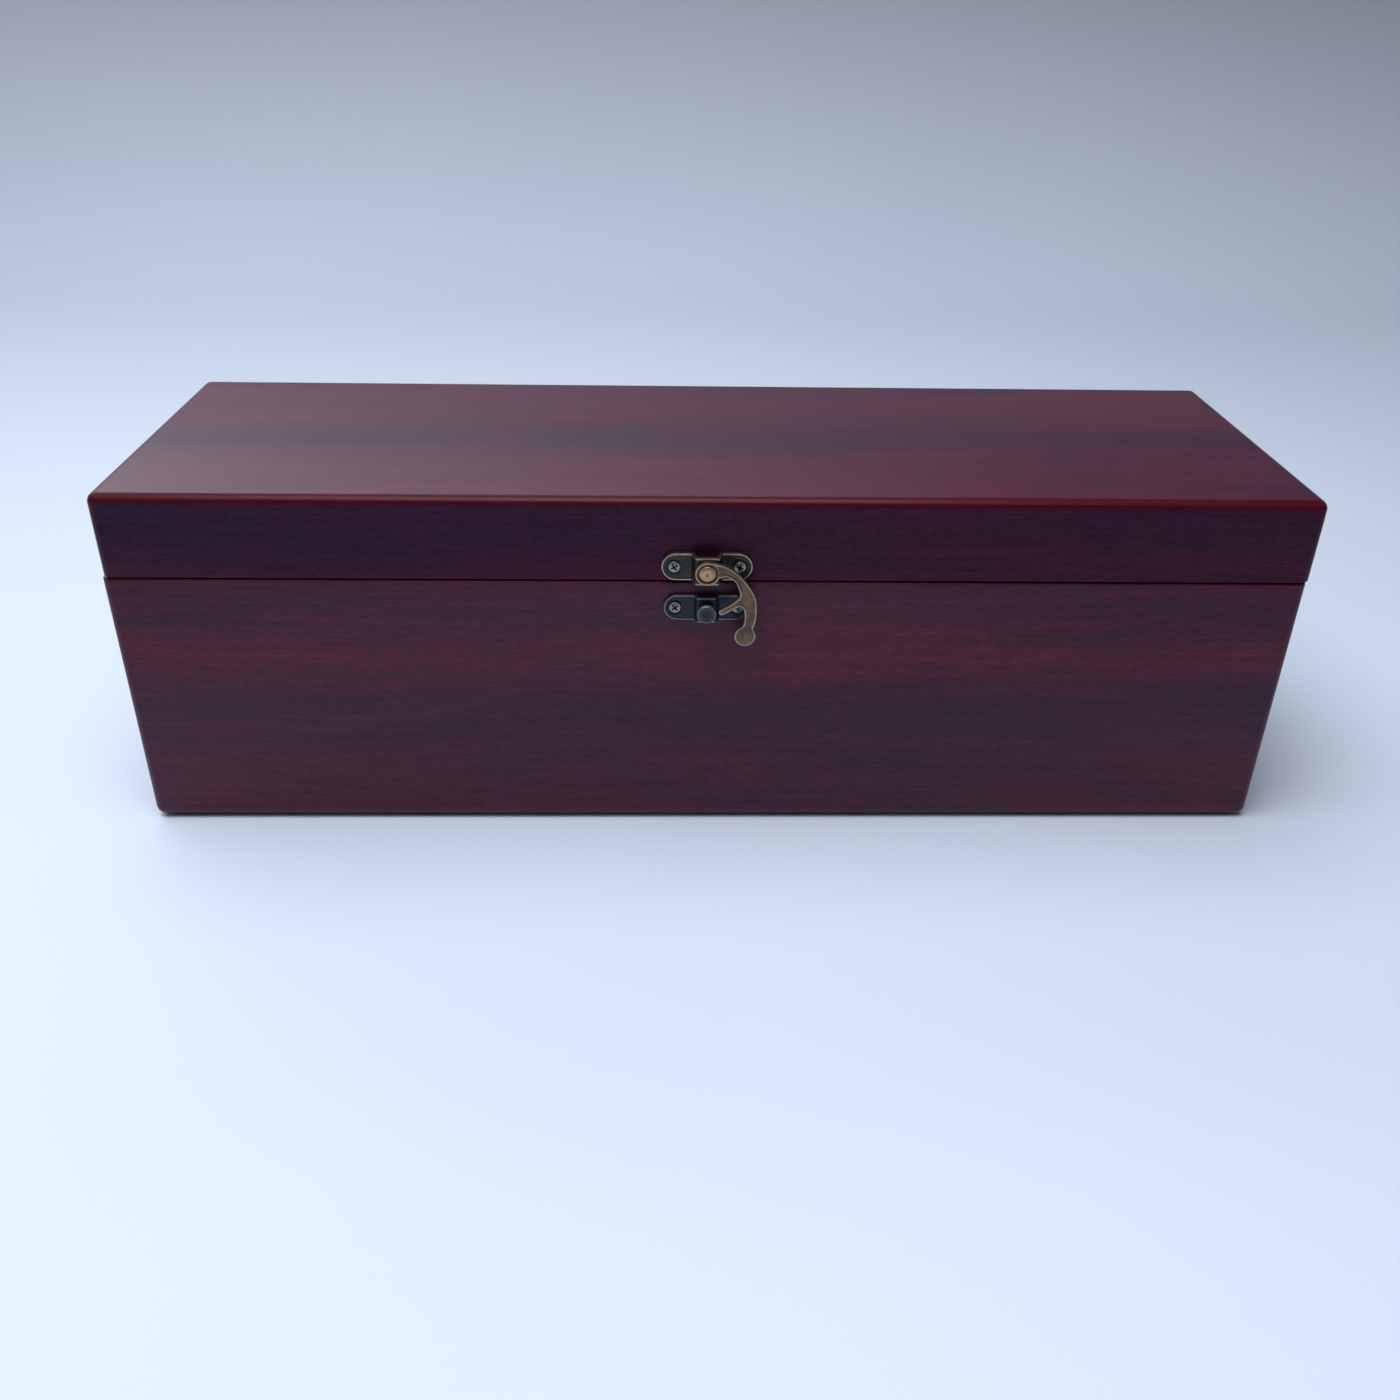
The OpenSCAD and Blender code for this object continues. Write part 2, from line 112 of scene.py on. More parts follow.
def node(tree, kind, inputs=None, **props):
    """Adds a shader node. Inputs are values or sockets by name or number."""
    n = tree.nodes.new("ShaderNode" + kind)
    for key, value in props.items():
        setattr(n, key, value)
    for key, value in (inputs or {}).items():
        if isinstance(value, bpy.types.NodeSocket):
            tree.links.new(value, n.inputs[key])
        else:
            n.inputs[key].default_value = value
    return n


def maths(tree, op, a, b, clamp=False):
    return node(tree, "Math", {0: a, 1: b}, operation=op, use_clamp=clamp).outputs[0]


def times(tree, a, b, clamp=False):
    return maths(tree, "MULTIPLY", a, b, clamp)


def plus(tree, a, b):
    return maths(tree, "ADD", a, b)


def mix(tree, factor, a, b, kind="MIX"):
    n = node(tree, "Mix", {"Factor": factor}, data_type="RGBA", blend_type=kind)
    for socket, value in ((n.inputs[6], a), (n.inputs[7], b)):
        if isinstance(value, bpy.types.NodeSocket):
            tree.links.new(value, socket)
        else:
            socket.default_value = (*value, 1)
    return n.outputs[2]


def ramp(tree, value, stops, kind="LINEAR"):
    n = node(tree, "ValToRGB", {"Fac": value})
    n.color_ramp.interpolation = kind
    cells = n.color_ramp.elements
    while len(cells) < len(stops):
        cells.new(0.5)
    for cell, (at, colour) in zip(cells, stops):
        cell.position = at
        grey = isinstance(colour, (int, float))
        cell.color = (colour, colour, colour, 1) if grey else (*colour, 1)
    return n.outputs["Color"]


def object_point(tree):
    return node(tree, "TexCoord").outputs["Object"]


def stretched(tree, point, scale, turn=(0, 0, 0)):
    inputs = {"Vector": point, "Scale": scale, "Rotation": turn}
    return node(tree, "Mapping", inputs).outputs["Vector"]


def noise_at(tree, point, scale=1.0, detail=2.0, rough=0.5):
    inputs = {"Vector": point, "Scale": scale, "Detail": detail, "Roughness": rough}
    return node(tree, "TexNoise", inputs).outputs["Fac"]


def bumped(tree, height, strength, distance, onto=None):
    inputs = {"Height": height, "Strength": strength, "Distance": distance}
    if onto is not None:
        inputs["Normal"] = onto
    return node(tree, "Bump", inputs).outputs["Normal"]


def shade(tree, inputs):
    bsdf = node(tree, "BsdfPrincipled", inputs)
    node(tree, "OutputMaterial", {"Surface": bsdf.outputs["BSDF"]})


def attribute(tree, name):
    return node(tree, "Attribute", attribute_name=name).outputs["Fac"]


# ---------- Rosewood ----------

# Colours from the reddest figure to the darkest, and of the worn edges
# The tones' blue is partly the wood's purple streaks and partly a painted bluish reflection haze
WOOD_TONES = (
    (0.12, (0.124, 0.0066, 0.0240)), (0.36, (0.079, 0.0058, 0.0230)),
    (0.62, (0.041, 0.0055, 0.0232)), (0.88, (0.021, 0.0053, 0.0243)),
)
EDGE_STAIN = (0.066, 0.0012, 0.0042)


def rosewood(name, along, seed, band, ior=1.34, coat=0.1):
    """Red stained rosewood veneer under satin lacquer, its grain along X or Y in the object's
    own space. band is a pair: the axis (1 Y or 2 Z) that the broad figure's bands follow, and
    stops of (place in metres, darkness from 0 red to 1 dark). ior is the lacquer's, and coat is
    how much of a second, glossier film lies over it."""
    mat, t = new_material(name)
    point = object_point(t)
    if along == "Y":
        apart = node(t, "SeparateXYZ", {"Vector": point})
        turned = {"X": apart.outputs["Y"], "Y": apart.outputs["X"], "Z": apart.outputs["Z"]}
        point = node(t, "CombineXYZ", turned).outputs["Vector"]
    shifted = node(t, "VectorMath", {0: point, 1: (seed, seed * 0.37, seed * 0.71)}).outputs[0]

    # Slow wander of the grain, up to 5 mm to either side over the board's length
    wander = noise_at(t, stretched(t, shifted, (7, 16, 16)), 1, 2, 0.45)
    wander = times(t, maths(t, "SUBTRACT", wander, 0.5), 0.016)
    apart = node(t, "SeparateXYZ", {"Vector": shifted})
    moved = {side: plus(t, apart.outputs[side], wander) for side in "YZ"}
    bent = node(t, "CombineXYZ", {"X": apart.outputs["X"], **moved}).outputs["Vector"]

    # Broad dark bands at set places across the board
    axis, places = band
    plain = node(t, "SeparateXYZ", {"Vector": point})
    across = plus(t, plain.outputs["XYZ"[axis]], wander)
    low, high = places[0][0], places[-1][0]
    spread = maths(t, "DIVIDE", maths(t, "SUBTRACT", across, low), high - low, clamp=True)
    stops = [((at - low) / (high - low), dark) for at, dark in places]
    bands = ramp(t, spread, stops, "B_SPLINE")

    patches = noise_at(t, stretched(t, bent, (5.5, 62, 62)), 1, 3, 0.55)
    streaks = noise_at(t, stretched(t, bent, (10, 330, 330)), 1, 3, 0.6)
    threads = noise_at(t, stretched(t, bent, (34, 1350, 1350)), 1, 2, 0.6)
    pores = noise_at(t, stretched(t, bent, (150, 2900, 2900)), 1, 1, 0.5)
    mottle = noise_at(t, stretched(t, shifted, (420, 900, 900)), 1, 3, 0.65)

    dark = plus(t, times(t, bands, 0.62), times(t, patches, 0.55))
    dark = plus(t, dark, times(t, streaks, 0.5))
    dark = maths(t, "SUBTRACT", dark, 0.27)
    tone = ramp(t, dark, WOOD_TONES)
    threaded = ramp(t, threads, ((0.34, 0.62), (0.5, 0.95), (0.66, 1.3)))
    tone = mix(t, 0.5, tone, threaded, "MULTIPLY")
    pore = ramp(t, pores, ((0.30, 0.35), (0.40, 1.0)))
    tone = mix(t, 0.6, tone, pore, "MULTIPLY")
    mottled = ramp(t, mottle, ((0.35, 0.74), (0.65, 1.26)))
    tone = mix(t, 0.8, tone, mottled, "MULTIPLY")

    # Redder stain where the roundovers were sanded thin
    edge = attribute(t, "edge")
    speck = noise_at(t, shifted, 1500, 2, 0.6)
    thin = times(t, edge, ramp(t, speck, ((0.30, 0.45), (0.62, 1.0))), clamp=True)
    tone = mix(t, thin, tone, EDGE_STAIN)

    rough = plus(t, 0.33, times(t, mottle, 0.12))
    height = plus(t, times(t, pore, 0.5), times(t, threads, 0.5))
    normal = bumped(t, height, 0.10, 0.00006)
    peel = noise_at(t, shifted, 900, 2, 0.5)
    shade(t, {
        "Base Color": tone,
        "Roughness": rough,
        "IOR": ior,
        "Coat Weight": coat,
        "Coat Roughness": 0.25,
        "Coat IOR": 1.4,
        "Normal": normal,
        "Coat Normal": bumped(t, peel, 0.10, 0.00008),
    })
    return mat


# (Height, darkness) up the front, and (depth, darkness) across the top
FRONT_BANDS = (
    (0.000, 0.22), (0.020, 0.40), (0.036, 0.58), (0.047, 0.62), (0.056, 0.14), (0.062, 0.20),
    (0.070, 0.50), (0.080, 0.34), (0.088, 0.56), (0.099, 0.82), (0.112, 0.74),
)
TOP_BANDS = (
    (-0.057, 0.26), (-0.040, 0.30), (-0.018, 0.40), (-0.004, 0.66), (0.006, 0.62), (0.015, 0.16),
    (0.026, 0.44), (0.040, 0.26), (0.057, 0.44),
)


# ---------- Wooden boards ----------

# The box's half length, half depth, top, edge radius, board joints and rims, in metres
HALF_X, HALF_Y, TOP_Z = 0.18, 0.057, 0.112
EDGE_R = 3 * MM
FELT_TOP, FLOOR_Z, CEILING_Z = 1 * MM, 7 * MM, 106 * MM
BASE_RIM, LID_RIM, RIM_EASE = 85.75 * MM, 86.25 * MM, 0.45 * MM
BASE_DX, LID_DX = -0.25 * MM, 0.25 * MM


# Points nearer than this are one, and edges over this many degrees are sharp
WELD = 2e-6
SHARP = 40


def copy_mesh(node_name):
    """A copy of a CAD node's mesh with its duplicate points welded and flat faces whole."""
    bm = bmesh.new()
    bm.from_mesh(NODES[node_name].data)
    bmesh.ops.remove_doubles(bm, verts=bm.verts, dist=WELD)
    bmesh.ops.dissolve_limit(
        bm, angle_limit=math.radians(0.4), verts=bm.verts[:], edges=bm.edges[:]
    )
    return bm


def obj_from_bm(bm, name):
    mesh = bpy.data.meshes.new(name)
    bm.to_mesh(mesh)
    bm.free()
    return link(bpy.data.objects.new(name, mesh))


def dress(obj, mat):
    """Shades a piece smooth, in one material."""
    for poly in obj.data.polygons:
        poly.use_smooth = True
    obj.data.materials.append(mat)


def folded(edge, degrees):
    """Whether an edge joins two faces that turn by more than this angle."""
    return len(edge.link_faces) == 2 and edge.calc_face_angle() > math.radians(degrees)


def finish_mesh(bm, name, mat, sharp=32):
    """A smooth-shaded piece with creases at edges over sharp degrees."""
    bmesh.ops.recalc_face_normals(bm, faces=bm.faces)
    for edge in bm.edges:
        if folded(edge, sharp):
            edge.smooth = False
    obj = obj_from_bm(bm, name)
    dress(obj, mat)
    return obj


def put_values(obj, name, values):
    """Gives each point of a piece a value that its material reads."""
    layer = obj.data.attributes.new(name, "FLOAT", "POINT")
    layer.data.foreach_set("value", values)


def ease(bm, edges, width, segments):
    """Rounds edges over and returns the new points."""
    return bmesh.ops.bevel(
        bm, geom=edges, offset=width, offset_type="OFFSET", segments=segments, profile=0.5,
        affect="EDGES", clamp_overlap=True,
    )["verts"]


def skirt(bm, a, b):
    """Joins two rings of as many points with a band of faces."""
    for i in range(len(a)):
        j = (i + 1) % len(a)
        bm.faces.new((a[i], a[j], b[j], b[i]))


def skirts(bm, rings):
    for a, b in zip(rings, rings[1:]):
        skirt(bm, a, b)


def round_corners(half_x, half_y, corner, r, steps):
    """Points (x, y, angle) counterclockwise round a rectangle, its corners being arcs of radius
    r whose middles lie corner inside its sides."""
    for k, (sx, sy) in enumerate(((1, 1), (-1, 1), (-1, -1), (1, -1))):
        for turn in np.radians(np.linspace(90 * k, 90 * k + 90, steps)):
            x = sx * (half_x - corner) + r * math.cos(turn)
            yield x, sy * (half_y - corner) + r * math.sin(turn), turn


def rim_edges(bm, z):
    """Sharp edges of a wall's rim at height z, without those that run across a mitre."""
    found = []
    for e in bm.edges:
        a, b = (v.co for v in e.verts)
        if max(abs(a.z - z), abs(b.z - z)) > 0.01 * MM:
            continue
        run = b - a
        mitre = run.length > 3 * MM and abs(abs(run.x) - abs(run.y)) < 0.2 * run.length
        if not mitre and folded(e, SHARP):
            found.append(e)
    return found


def wood_piece(node_name, mat, centre_x, rim):
    """Stands for a board: the CAD shape with its rim eased, and an 'edge' value that is 1 along
    the sanded roundovers and 0 on flat faces."""
    bm = copy_mesh(node_name)
    ease(bm, rim_edges(bm, rim), RIM_EASE, 3)
    obj = finish_mesh(bm, "wood_" + node_name, mat)
    inner = Vector((HALF_X - EDGE_R, HALF_Y - EDGE_R))
    lowest, highest = (*-inner, FELT_TOP + EDGE_R), (*inner, TOP_Z - EDGE_R)
    values = []
    for v in obj.data.vertices:
        p = v.co - Vector((centre_x, 0, 0))
        out = p - Vector(np.clip(p, lowest, highest))
        on_skin = out.length > EDGE_R * 0.93
        turned = 1 - max(abs(c) for c in out) / max(out.length, 1e-9)
        edge = min(turned / 0.22, 1.0) if on_skin else 0.0
        from_rim = abs(p.z - rim)
        if from_rim < RIM_EASE * 0.98:
            edge = max(edge, 0.15 if from_rim < 0.01 * MM else 0.8)
        values.append(edge)
    put_values(obj, "edge", values)
    return obj


def board_piece(name, mat, centre_x, z_joint, z_skin):
    """Top or bottom board of the rounded box: square from z_joint, then rounded over to z_skin,
    with round corners like a ball's."""
    toward = 1 if z_skin > z_joint else -1
    z_square = z_skin - toward * EDGE_R
    # Height, inset and sanded wear of each ring of points
    levels = [(z_joint, 0.0, 0.0), ((z_joint + z_square) / 2, 0.0, 0.0)]
    for a in np.linspace(0, math.pi / 2, 9):
        level = z_square + toward * EDGE_R * math.sin(a)
        levels.append((level, EDGE_R * (1 - math.cos(a)), math.sin(2 * a)))
    bm = bmesh.new()
    layer = bm.verts.layers.float.new("edge")
    loops = []
    for z, inset, over in levels:
        loop = []
        r = max(EDGE_R - inset, 1e-5)
        for x, y, turn in round_corners(HALF_X, HALF_Y, EDGE_R, r, 9):
            v = bm.verts.new((centre_x + x, y, z))
            wear_and_painted_light = 1.25 * max(abs(math.sin(2 * turn)), over)
            v[layer] = 0.0 if z == levels[-1][0] else min(1.0, wear_and_painted_light)
            loop.append(v)
        loops.append(loop)
    skirts(bm, loops)
    bm.faces.new(loops[0])
    bm.faces.new(loops[-1])
    bmesh.ops.remove_doubles(bm, verts=bm.verts, dist=2e-5)
    return finish_mesh(bm, name, mat)


def veneer_sides(obj, front_mat, back_mat, end_mat):
    """Gives a top or bottom board's edge strips the veneers of the walls that they continue."""
    for mat in (front_mat, back_mat, end_mat):
        obj.data.materials.append(mat)
    for poly in obj.data.polygons:
        n = poly.normal
        if abs(n.z) >= 0.6:
            continue
        if abs(n.y) < abs(n.x):
            poly.material_index = 3
        else:
            poly.material_index = 1 if n.y < 0 else 2


def stand_for(obj, node_name):
    """Puts a piece in a CAD node's place, on its body."""
    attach(obj, NODES[node_name]["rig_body"])
    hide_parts(node_name)


def make_wood():
    front = rosewood("rosewood_front", "X", 0.0, (2, FRONT_BANDS))
    back = rosewood("rosewood_back", "X", 3.1, (2, tuple((z, 0.9 - d) for z, d in FRONT_BANDS)))
    ends = rosewood("rosewood_ends", "Y", 5.3, (2, FRONT_BANDS))
    top = rosewood("rosewood_top", "X", 1.7, (1, TOP_BANDS), ior=1.37)
    lid_front = rosewood("rosewood_lid_front", "X", 0.0, (2, FRONT_BANDS), ior=1.2, coat=0.03)
    under = rosewood("rosewood_under", "X", 7.9, (1, TOP_BANDS))
    for part, dx, rim in (("base_%s_panel", BASE_DX, BASE_RIM), ("lid_%s_rail", LID_DX, LID_RIM)):
        for side, mat in (("front", front), ("back", back), ("left", ends), ("right", ends)):
            name = part % side
            mat = lid_front if name == "lid_front_rail" else mat
            stand_for(wood_piece(name, mat, dx, rim), name)
    bottom = board_piece("wood_base_bottom_board", under, BASE_DX, FLOOR_Z, FELT_TOP)
    veneer_sides(bottom, front, back, ends)
    stand_for(bottom, "base_bottom_board")
    cover = board_piece("wood_lid_top_board", top, LID_DX, CEILING_Z, TOP_Z)
    veneer_sides(cover, lid_front, back, ends)
    stand_for(cover, "lid_top_board")


# ---------- Cast bronze latch ----------

LATCH_X = -2.0
FRONT_Y = -57.0
PIVOT_Z, STUD_Z = 91.3, 78.1

# Hook outline from its pivot, in mm: x, y and half width along the arm, then the claw
ARM = (
    (0.3, 1.55, 2.1), (4, 0.85, 2), (6, 0.45, 1.45), (8.95, -1.6, 1.2), (11.2, -5.3, 1.75),
    (12.2, -8.6, 2.3), (12.9, -11.6, 1.9), (12.95, -14.5, 1.7), (12.4, -17.3, 1.6),
    (11.8, -19.2, 1.5),
)
CLAW = (
    (12, -8.2, 2.2), (10.2, -8.9, 1.6), (8.6, -9.75, 1.1), (7.2, -10.6, 0.95),
    (5.6, -11.6, 0.95), (4.45, -12.25, 0.95),
)
# Radii of its eye and its finger tab, the tab's middle, and the depths of its face and tab
EYE_R, TAB_R, TAB = 3.65, 3.2, (11.55, -20.3)
FACE_Q, TAB_Q = 6.8, 6.42


def at_latch(x, q, y, z0):
    """A point x right and y up from the latch's middle at height z0, and q out, all in mm."""
    return (LATCH_X + x) * MM, (FRONT_Y - q) * MM, (z0 + y) * MM


def circle(r, count):
    """Points round a circle about the origin, starting on the x axis."""
    turns = np.linspace(0, 2 * math.pi, count, endpoint=False)
    return [(r * math.cos(a), r * math.sin(a)) for a in turns]


def smoothstep(x, low, high):
    """Rises smoothly from 0 at low to 1 at high."""
    t = np.clip((x - low) / (high - low), 0, 1)
    return t * t * (3 - 2 * t)


def soft_min(a, b, k):
    """The smaller of two distances, blended within k where they meet."""
    h = np.maximum(k - np.abs(a - b), 0) / k
    return np.minimum(a, b) - h * h * k / 4


def bar_outline(stations, steps=6):
    """Outline of a bar through the stations (a Catmull-Rom curve) with a round far end."""
    st = np.array(stations, float)
    n = len(st) - 1
    pts = []
    for i in range(n):
        a, b, c, d = st[max(i - 1, 0)], st[i], st[i + 1], st[min(i + 2, n)]
        for k in range(steps):
            t = k / steps
            square, cube = 2 * a - 5 * b + 4 * c - d, 3 * b - a - 3 * c + d
            pts.append(0.5 * (2 * b + (c - a) * t + square * t**2 + cube * t**3))
    pts = np.array(pts + [st[n]])
    run = np.gradient(pts[:, :2], axis=0)
    run /= np.linalg.norm(run, axis=1)[:, None]
    out = np.stack([-run[:, 1], run[:, 0]], 1) * pts[:, 2:3]
    heading = math.atan2(run[-1, 1], run[-1, 0])
    turns = heading + np.radians(np.arange(80, -81, -16))
    cap = pts[-1, :2] + pts[-1, 2] * np.stack([np.cos(turns), np.sin(turns)], 1)
    return np.concatenate([pts[:, :2] + out, cap, (pts[:, :2] - out)[::-1]])


def outline_distance(poly, pts):
    """Signed distance from pts to a closed outline, negative inside."""
    best = np.full(len(pts), 1e9)
    inside = np.zeros(len(pts), bool)
    px, py = pts[:, 0], pts[:, 1]
    for (ax, ay), (bx, by) in zip(poly, np.roll(poly, -1, 0)):
        ex, ey = bx - ax, by - ay
        t = np.clip(((px - ax) * ex + (py - ay) * ey) / max(ex * ex + ey * ey, 1e-12), 0, 1)
        best = np.minimum(best, (px - ax - t * ex) ** 2 + (py - ay - t * ey) ** 2)
        if ay != by:
            inside ^= ((ay > py) != (by > py)) & (px < ex * (py - ay) / ey + ax)
    return np.sqrt(best) * np.where(inside, -1, 1)


def zero_loops(field, low, high, step):
    """Closed polylines along which field is zero, by marching squares."""
    xs, ys = np.arange(low[0], high[0] + step, step), np.arange(low[1], high[1] + step, step)
    gx, gy = np.meshgrid(xs, ys, indexing="ij")
    f = field(np.stack([gx.ravel(), gy.ravel()], 1)).reshape(gx.shape)
    neg = f < 0
    count = neg[:-1, :-1] * 1 + neg[1:, :-1] + neg[:-1, 1:] + neg[1:, 1:]
    cuts, beside = {}, {}
    for i, j in zip(*np.nonzero((count > 0) & (count < 4))):
        corners = ((i, j), (i + 1, j), (i + 1, j + 1), (i, j + 1))
        keys = []
        for a, b in zip(corners, corners[1:] + corners[:1]):
            if neg[a] != neg[b]:
                key = (min(a, b), max(a, b))
                a, b = key
                t = f[a] / (f[a] - f[b])
                start, end = np.array([xs[a[0]], ys[a[1]]]), np.array([xs[b[0]], ys[b[1]]])
                cuts[key] = start + t * (end - start)
                keys.append(key)
        for a, b in zip(keys[::2], keys[1::2]):
            beside.setdefault(a, []).append(b)
            beside.setdefault(b, []).append(a)
    loops, left = [], set(cuts)
    for start in sorted(cuts):
        if start not in left:
            continue
        loop, at = [], start
        while at is not None:
            left.discard(at)
            loop.append(cuts[at])
            at = next((k for k in beside[at] if k in left), None)
        loops.append(np.array(loop))
    return sorted(loops, key=len, reverse=True)


def even_loop(loop, spacing):
    """A closed polyline's points placed anew at even steps."""
    closed = np.concatenate([loop, loop[:1]])
    along = np.concatenate([[0], np.cumsum(np.linalg.norm(np.diff(closed, axis=0), axis=1))])
    count = max(12, int(round(along[-1] / spacing)))
    at = np.linspace(0, along[-1], count, endpoint=False)
    return np.stack([np.interp(at, along, closed[:, k]) for k in (0, 1)], 1)


def ring_edges(first, count):
    """Pairs of neighbours in a closed ring of points that starts at number first."""
    return [(first + i, first + (i + 1) % count) for i in range(count)]


def triangulated(flat, edges):
    """Points and triangles of a flat Delaunay mesh that keeps the edges."""
    found = geometry.delaunay_2d_cdt(flat, edges, [], 0, 1e-6)
    return np.array([tuple(v) for v in found[0]]), found[2]


# Distances in from an outline where a casting's face gets a ring of points, in mm
RINGS = (0.05, 0.11, 0.18, 0.27, 0.38, 0.5, 0.63, 0.78, 0.95)


def relief(name, field, low, high, front, back, z0, mat, spacing=0.26, core=0.42):
    """A casting with its back towards the box. field gives its outline; front and back give
    the depth of its faces out from the box, from points and their distances to the outline."""
    loops = [even_loop(loop, spacing) for loop in zero_loops(field, low, high, 0.15)]
    rim = np.concatenate(loops)
    edges, first = [], 0
    for loop in loops:
        edges += ring_edges(first, len(loop))
        first += len(loop)

    def to_edge(pts, which=loops):
        return np.min([np.abs(outline_distance(c, pts)) for c in which], axis=0)

    slope = np.stack([field(rim + d) - field(rim - d) for d in 0.02 * np.eye(2)], 1)
    inward = -slope / np.maximum(np.linalg.norm(slope, axis=1), 1e-9)[:, None]
    kept = [rim]
    for ring in RINGS:
        pts = rim + inward * ring
        pts = pts[(to_edge(pts) > ring * 0.94) & (field(pts) < 0)]
        cells = np.round(pts / (spacing * 0.6)).astype(int)
        kept.append(pts[np.sort(np.unique(cells, axis=0, return_index=True)[1])])
    gx, gy = np.meshgrid(
        np.arange(low[0], high[0], core), np.arange(low[1], high[1], core * 0.87), indexing="ij"
    )
    gx[:, ::2] += core / 2
    pts = np.stack([gx.ravel(), gy.ravel()], 1)
    pts = pts[field(pts) < -0.3]
    kept.append(pts[to_edge(pts) > RINGS[-1] + core * 0.45])
    pts, tris = triangulated([Vector(p) for p in np.concatenate(kept)], edges)
    middle = np.array([pts[list(f)].mean(0) for f in tris])
    tris = [f for f, inside in zip(tris, field(middle) < -1e-4) if inside]

    depth = to_edge(pts, loops[:1])
    bm = bmesh.new()
    layers = []
    for out in (front(pts, depth), back(pts, depth)):
        layers.append([bm.verts.new(at_latch(x, q, y, z0)) for (x, y), q in zip(pts, out)])
    # Sides of triangles. A side without its reverse is on the outline, so it gets a wall
    used = {}
    for f in tris:
        used.update(((a, b), True) for a, b in zip(f, f[1:] + f[:1]))
        bm.faces.new([layers[0][i] for i in f])
        bm.faces.new([layers[1][i] for i in reversed(f)])
    for a, b in used:
        if (b, a) not in used:
            bm.faces.new((layers[0][b], layers[0][a], layers[1][a], layers[1][b]))
    for v in [v for v in bm.verts if not v.link_faces]:
        bm.verts.remove(v)
    # A band along each rounded edge is rubbed metal and in part a painted rim highlight; the side
    # walls get a little
    wear_and_painted_light = np.exp(-(((depth - 0.26) / 0.2) ** 2))
    wall = np.where(depth < 0.02, 0.22, 0.0)
    keep = [i for i in range(len(pts)) if layers[0][i].is_valid]
    obj = finish_mesh(bm, name, mat, 48)
    put_values(obj, "wear_and_painted_light", [max(wear_and_painted_light[i], wall[i]) for i in keep] + [wall[i] for i in keep])
    return obj


def away(pts, x=0, y=0):
    """Distances of points from a place."""
    return np.hypot(pts[:, 0] - x, pts[:, 1] - y)


def rounded_edge(depth, radius):
    """How far a face with a rounded edge lies below its crest."""
    d = np.clip(depth, 0, radius)
    return radius - np.sqrt(np.maximum(radius**2 - (radius - d) ** 2, 0))


def hook_field(pts):
    """Signed distance from the hook's outline, with its rivet hole."""
    arm, claw = outline_distance(bar_outline(ARM), pts), outline_distance(bar_outline(CLAW), pts)
    eye, tab = away(pts) - EYE_R, away(pts, *TAB) - TAB_R
    whole = soft_min(soft_min(soft_min(arm, eye, 0.35), claw, 0.8), tab, 0.6)
    return np.maximum(whole, 1.25 - away(pts))


def hook_front(pts, depth):
    """Depth of the hook's face: rimmed and sunk along its arm, with a ball on its tab."""
    eye, tab, arm = away(pts), away(pts, *TAB), outline_distance(bar_outline(ARM), pts)
    dish = 0.3 * smoothstep(depth, 0.4, 0.85)
    dish *= smoothstep(eye, EYE_R - 0.2, EYE_R + 0.9) * smoothstep(tab, 3.1, 4.6)
    dish *= smoothstep(-arm, -0.2, 0.4)
    q = FACE_Q - dish - 0.6 * (1 - smoothstep(eye, 2.75, 2.98))
    ball = TAB_Q + 0.6 * np.sqrt(np.maximum(1 - (tab / 3.5) ** 2, 0))
    q = q + (ball - q) * (1 - smoothstep(tab, 2.9, 4.0))
    return q - rounded_edge(depth, 0.24) - 0.12 * (1 - smoothstep(tab, 2.6, 3.6)) * (depth < 0.5)


def stadium(w, h, holes):
    """Signed distance from a round-ended plate with (place, radius) holes along its middle."""

    def field(pts):
        over = np.maximum(np.abs(pts[:, 0]) - (w - h) / 2, 0)
        out = np.hypot(over, pts[:, 1]) - h / 2
        for x, r in holes:
            out = np.maximum(out, r - away(pts, x))
        return out

    return field


def plate(name, w, h, rise, top_w, slope, screw_x, z0, mat):
    """A plate with flat lobes and a bridge in the middle that rises by rise over a width of
    slope, to a top of width top_w. It is rimmed, and sunk round its screws. Sizes are in mm."""

    def bridge(pts, inset):
        out = top_w / 2 - inset
        return rise * (1 - smoothstep(np.abs(pts[:, 0]), out - 0.15, out + slope))

    def front(pts, depth):
        screw = np.hypot(np.abs(pts[:, 0]) - screw_x, pts[:, 1])
        lobe = smoothstep(np.abs(pts[:, 0]), top_w / 2 + slope - 0.3, top_w / 2 + slope + 0.5)
        dish = 0.16 * smoothstep(depth, 0.42, 0.85) * lobe
        sunk = 0.2 * (1 - smoothstep(screw, 1.95, 2.55))
        return 1.5 + bridge(pts, -0.15) - dish - sunk - rounded_edge(depth, 0.2)

    def back(pts, depth):
        return bridge(pts, 0.5)

    field = stadium(w, h, ((screw_x, 1.85), (-screw_x, 1.85), (0, 1.22)))
    low, high = (-w / 2 - 0.5, -h / 2 - 0.5), (w / 2 + 0.5, h / 2 + 0.5)
    return relief(name, field, low, high, front, back, z0, mat)


def lathe(name, profile, z0, mat, wear_and_painted_light, segments=64):
    """A turned piece about an axis that points out from the box. profile is (radius, depth) and
    worn has one value for each of its points."""
    bm = bmesh.new()
    rings = []
    for r, q in profile:
        ring = circle(r, segments if r > 0 else 1)
        rings.append([bm.verts.new(at_latch(x, q, y, z0)) for x, y in ring])
    for a, b in zip(rings, rings[1:]):
        for i in range(segments):
            j = (i + 1) % segments
            quad = (a[i % len(a)], a[j % len(a)], b[j % len(b)], b[i % len(b)])
            quad = list(dict.fromkeys(quad))
            if len(quad) > 2:
                bm.faces.new(quad)
    for ring in (rings[0], rings[-1]):
        if len(ring) > 1:
            bm.faces.new(ring)
    values = [w for w, ring in zip(wear_and_painted_light, rings) for _ in ring]
    obj = finish_mesh(bm, name, mat, 50)
    put_values(obj, "wear_and_painted_light", values)
    return obj


def arc(cx, cq, r, start, end, n):
    """Points of an arc in a lathe profile, with angles in degrees from the radius."""
    turns = np.radians(np.linspace(start, end, n))
    return [(cx + r * math.cos(a), cq + r * math.sin(a)) for a in turns]
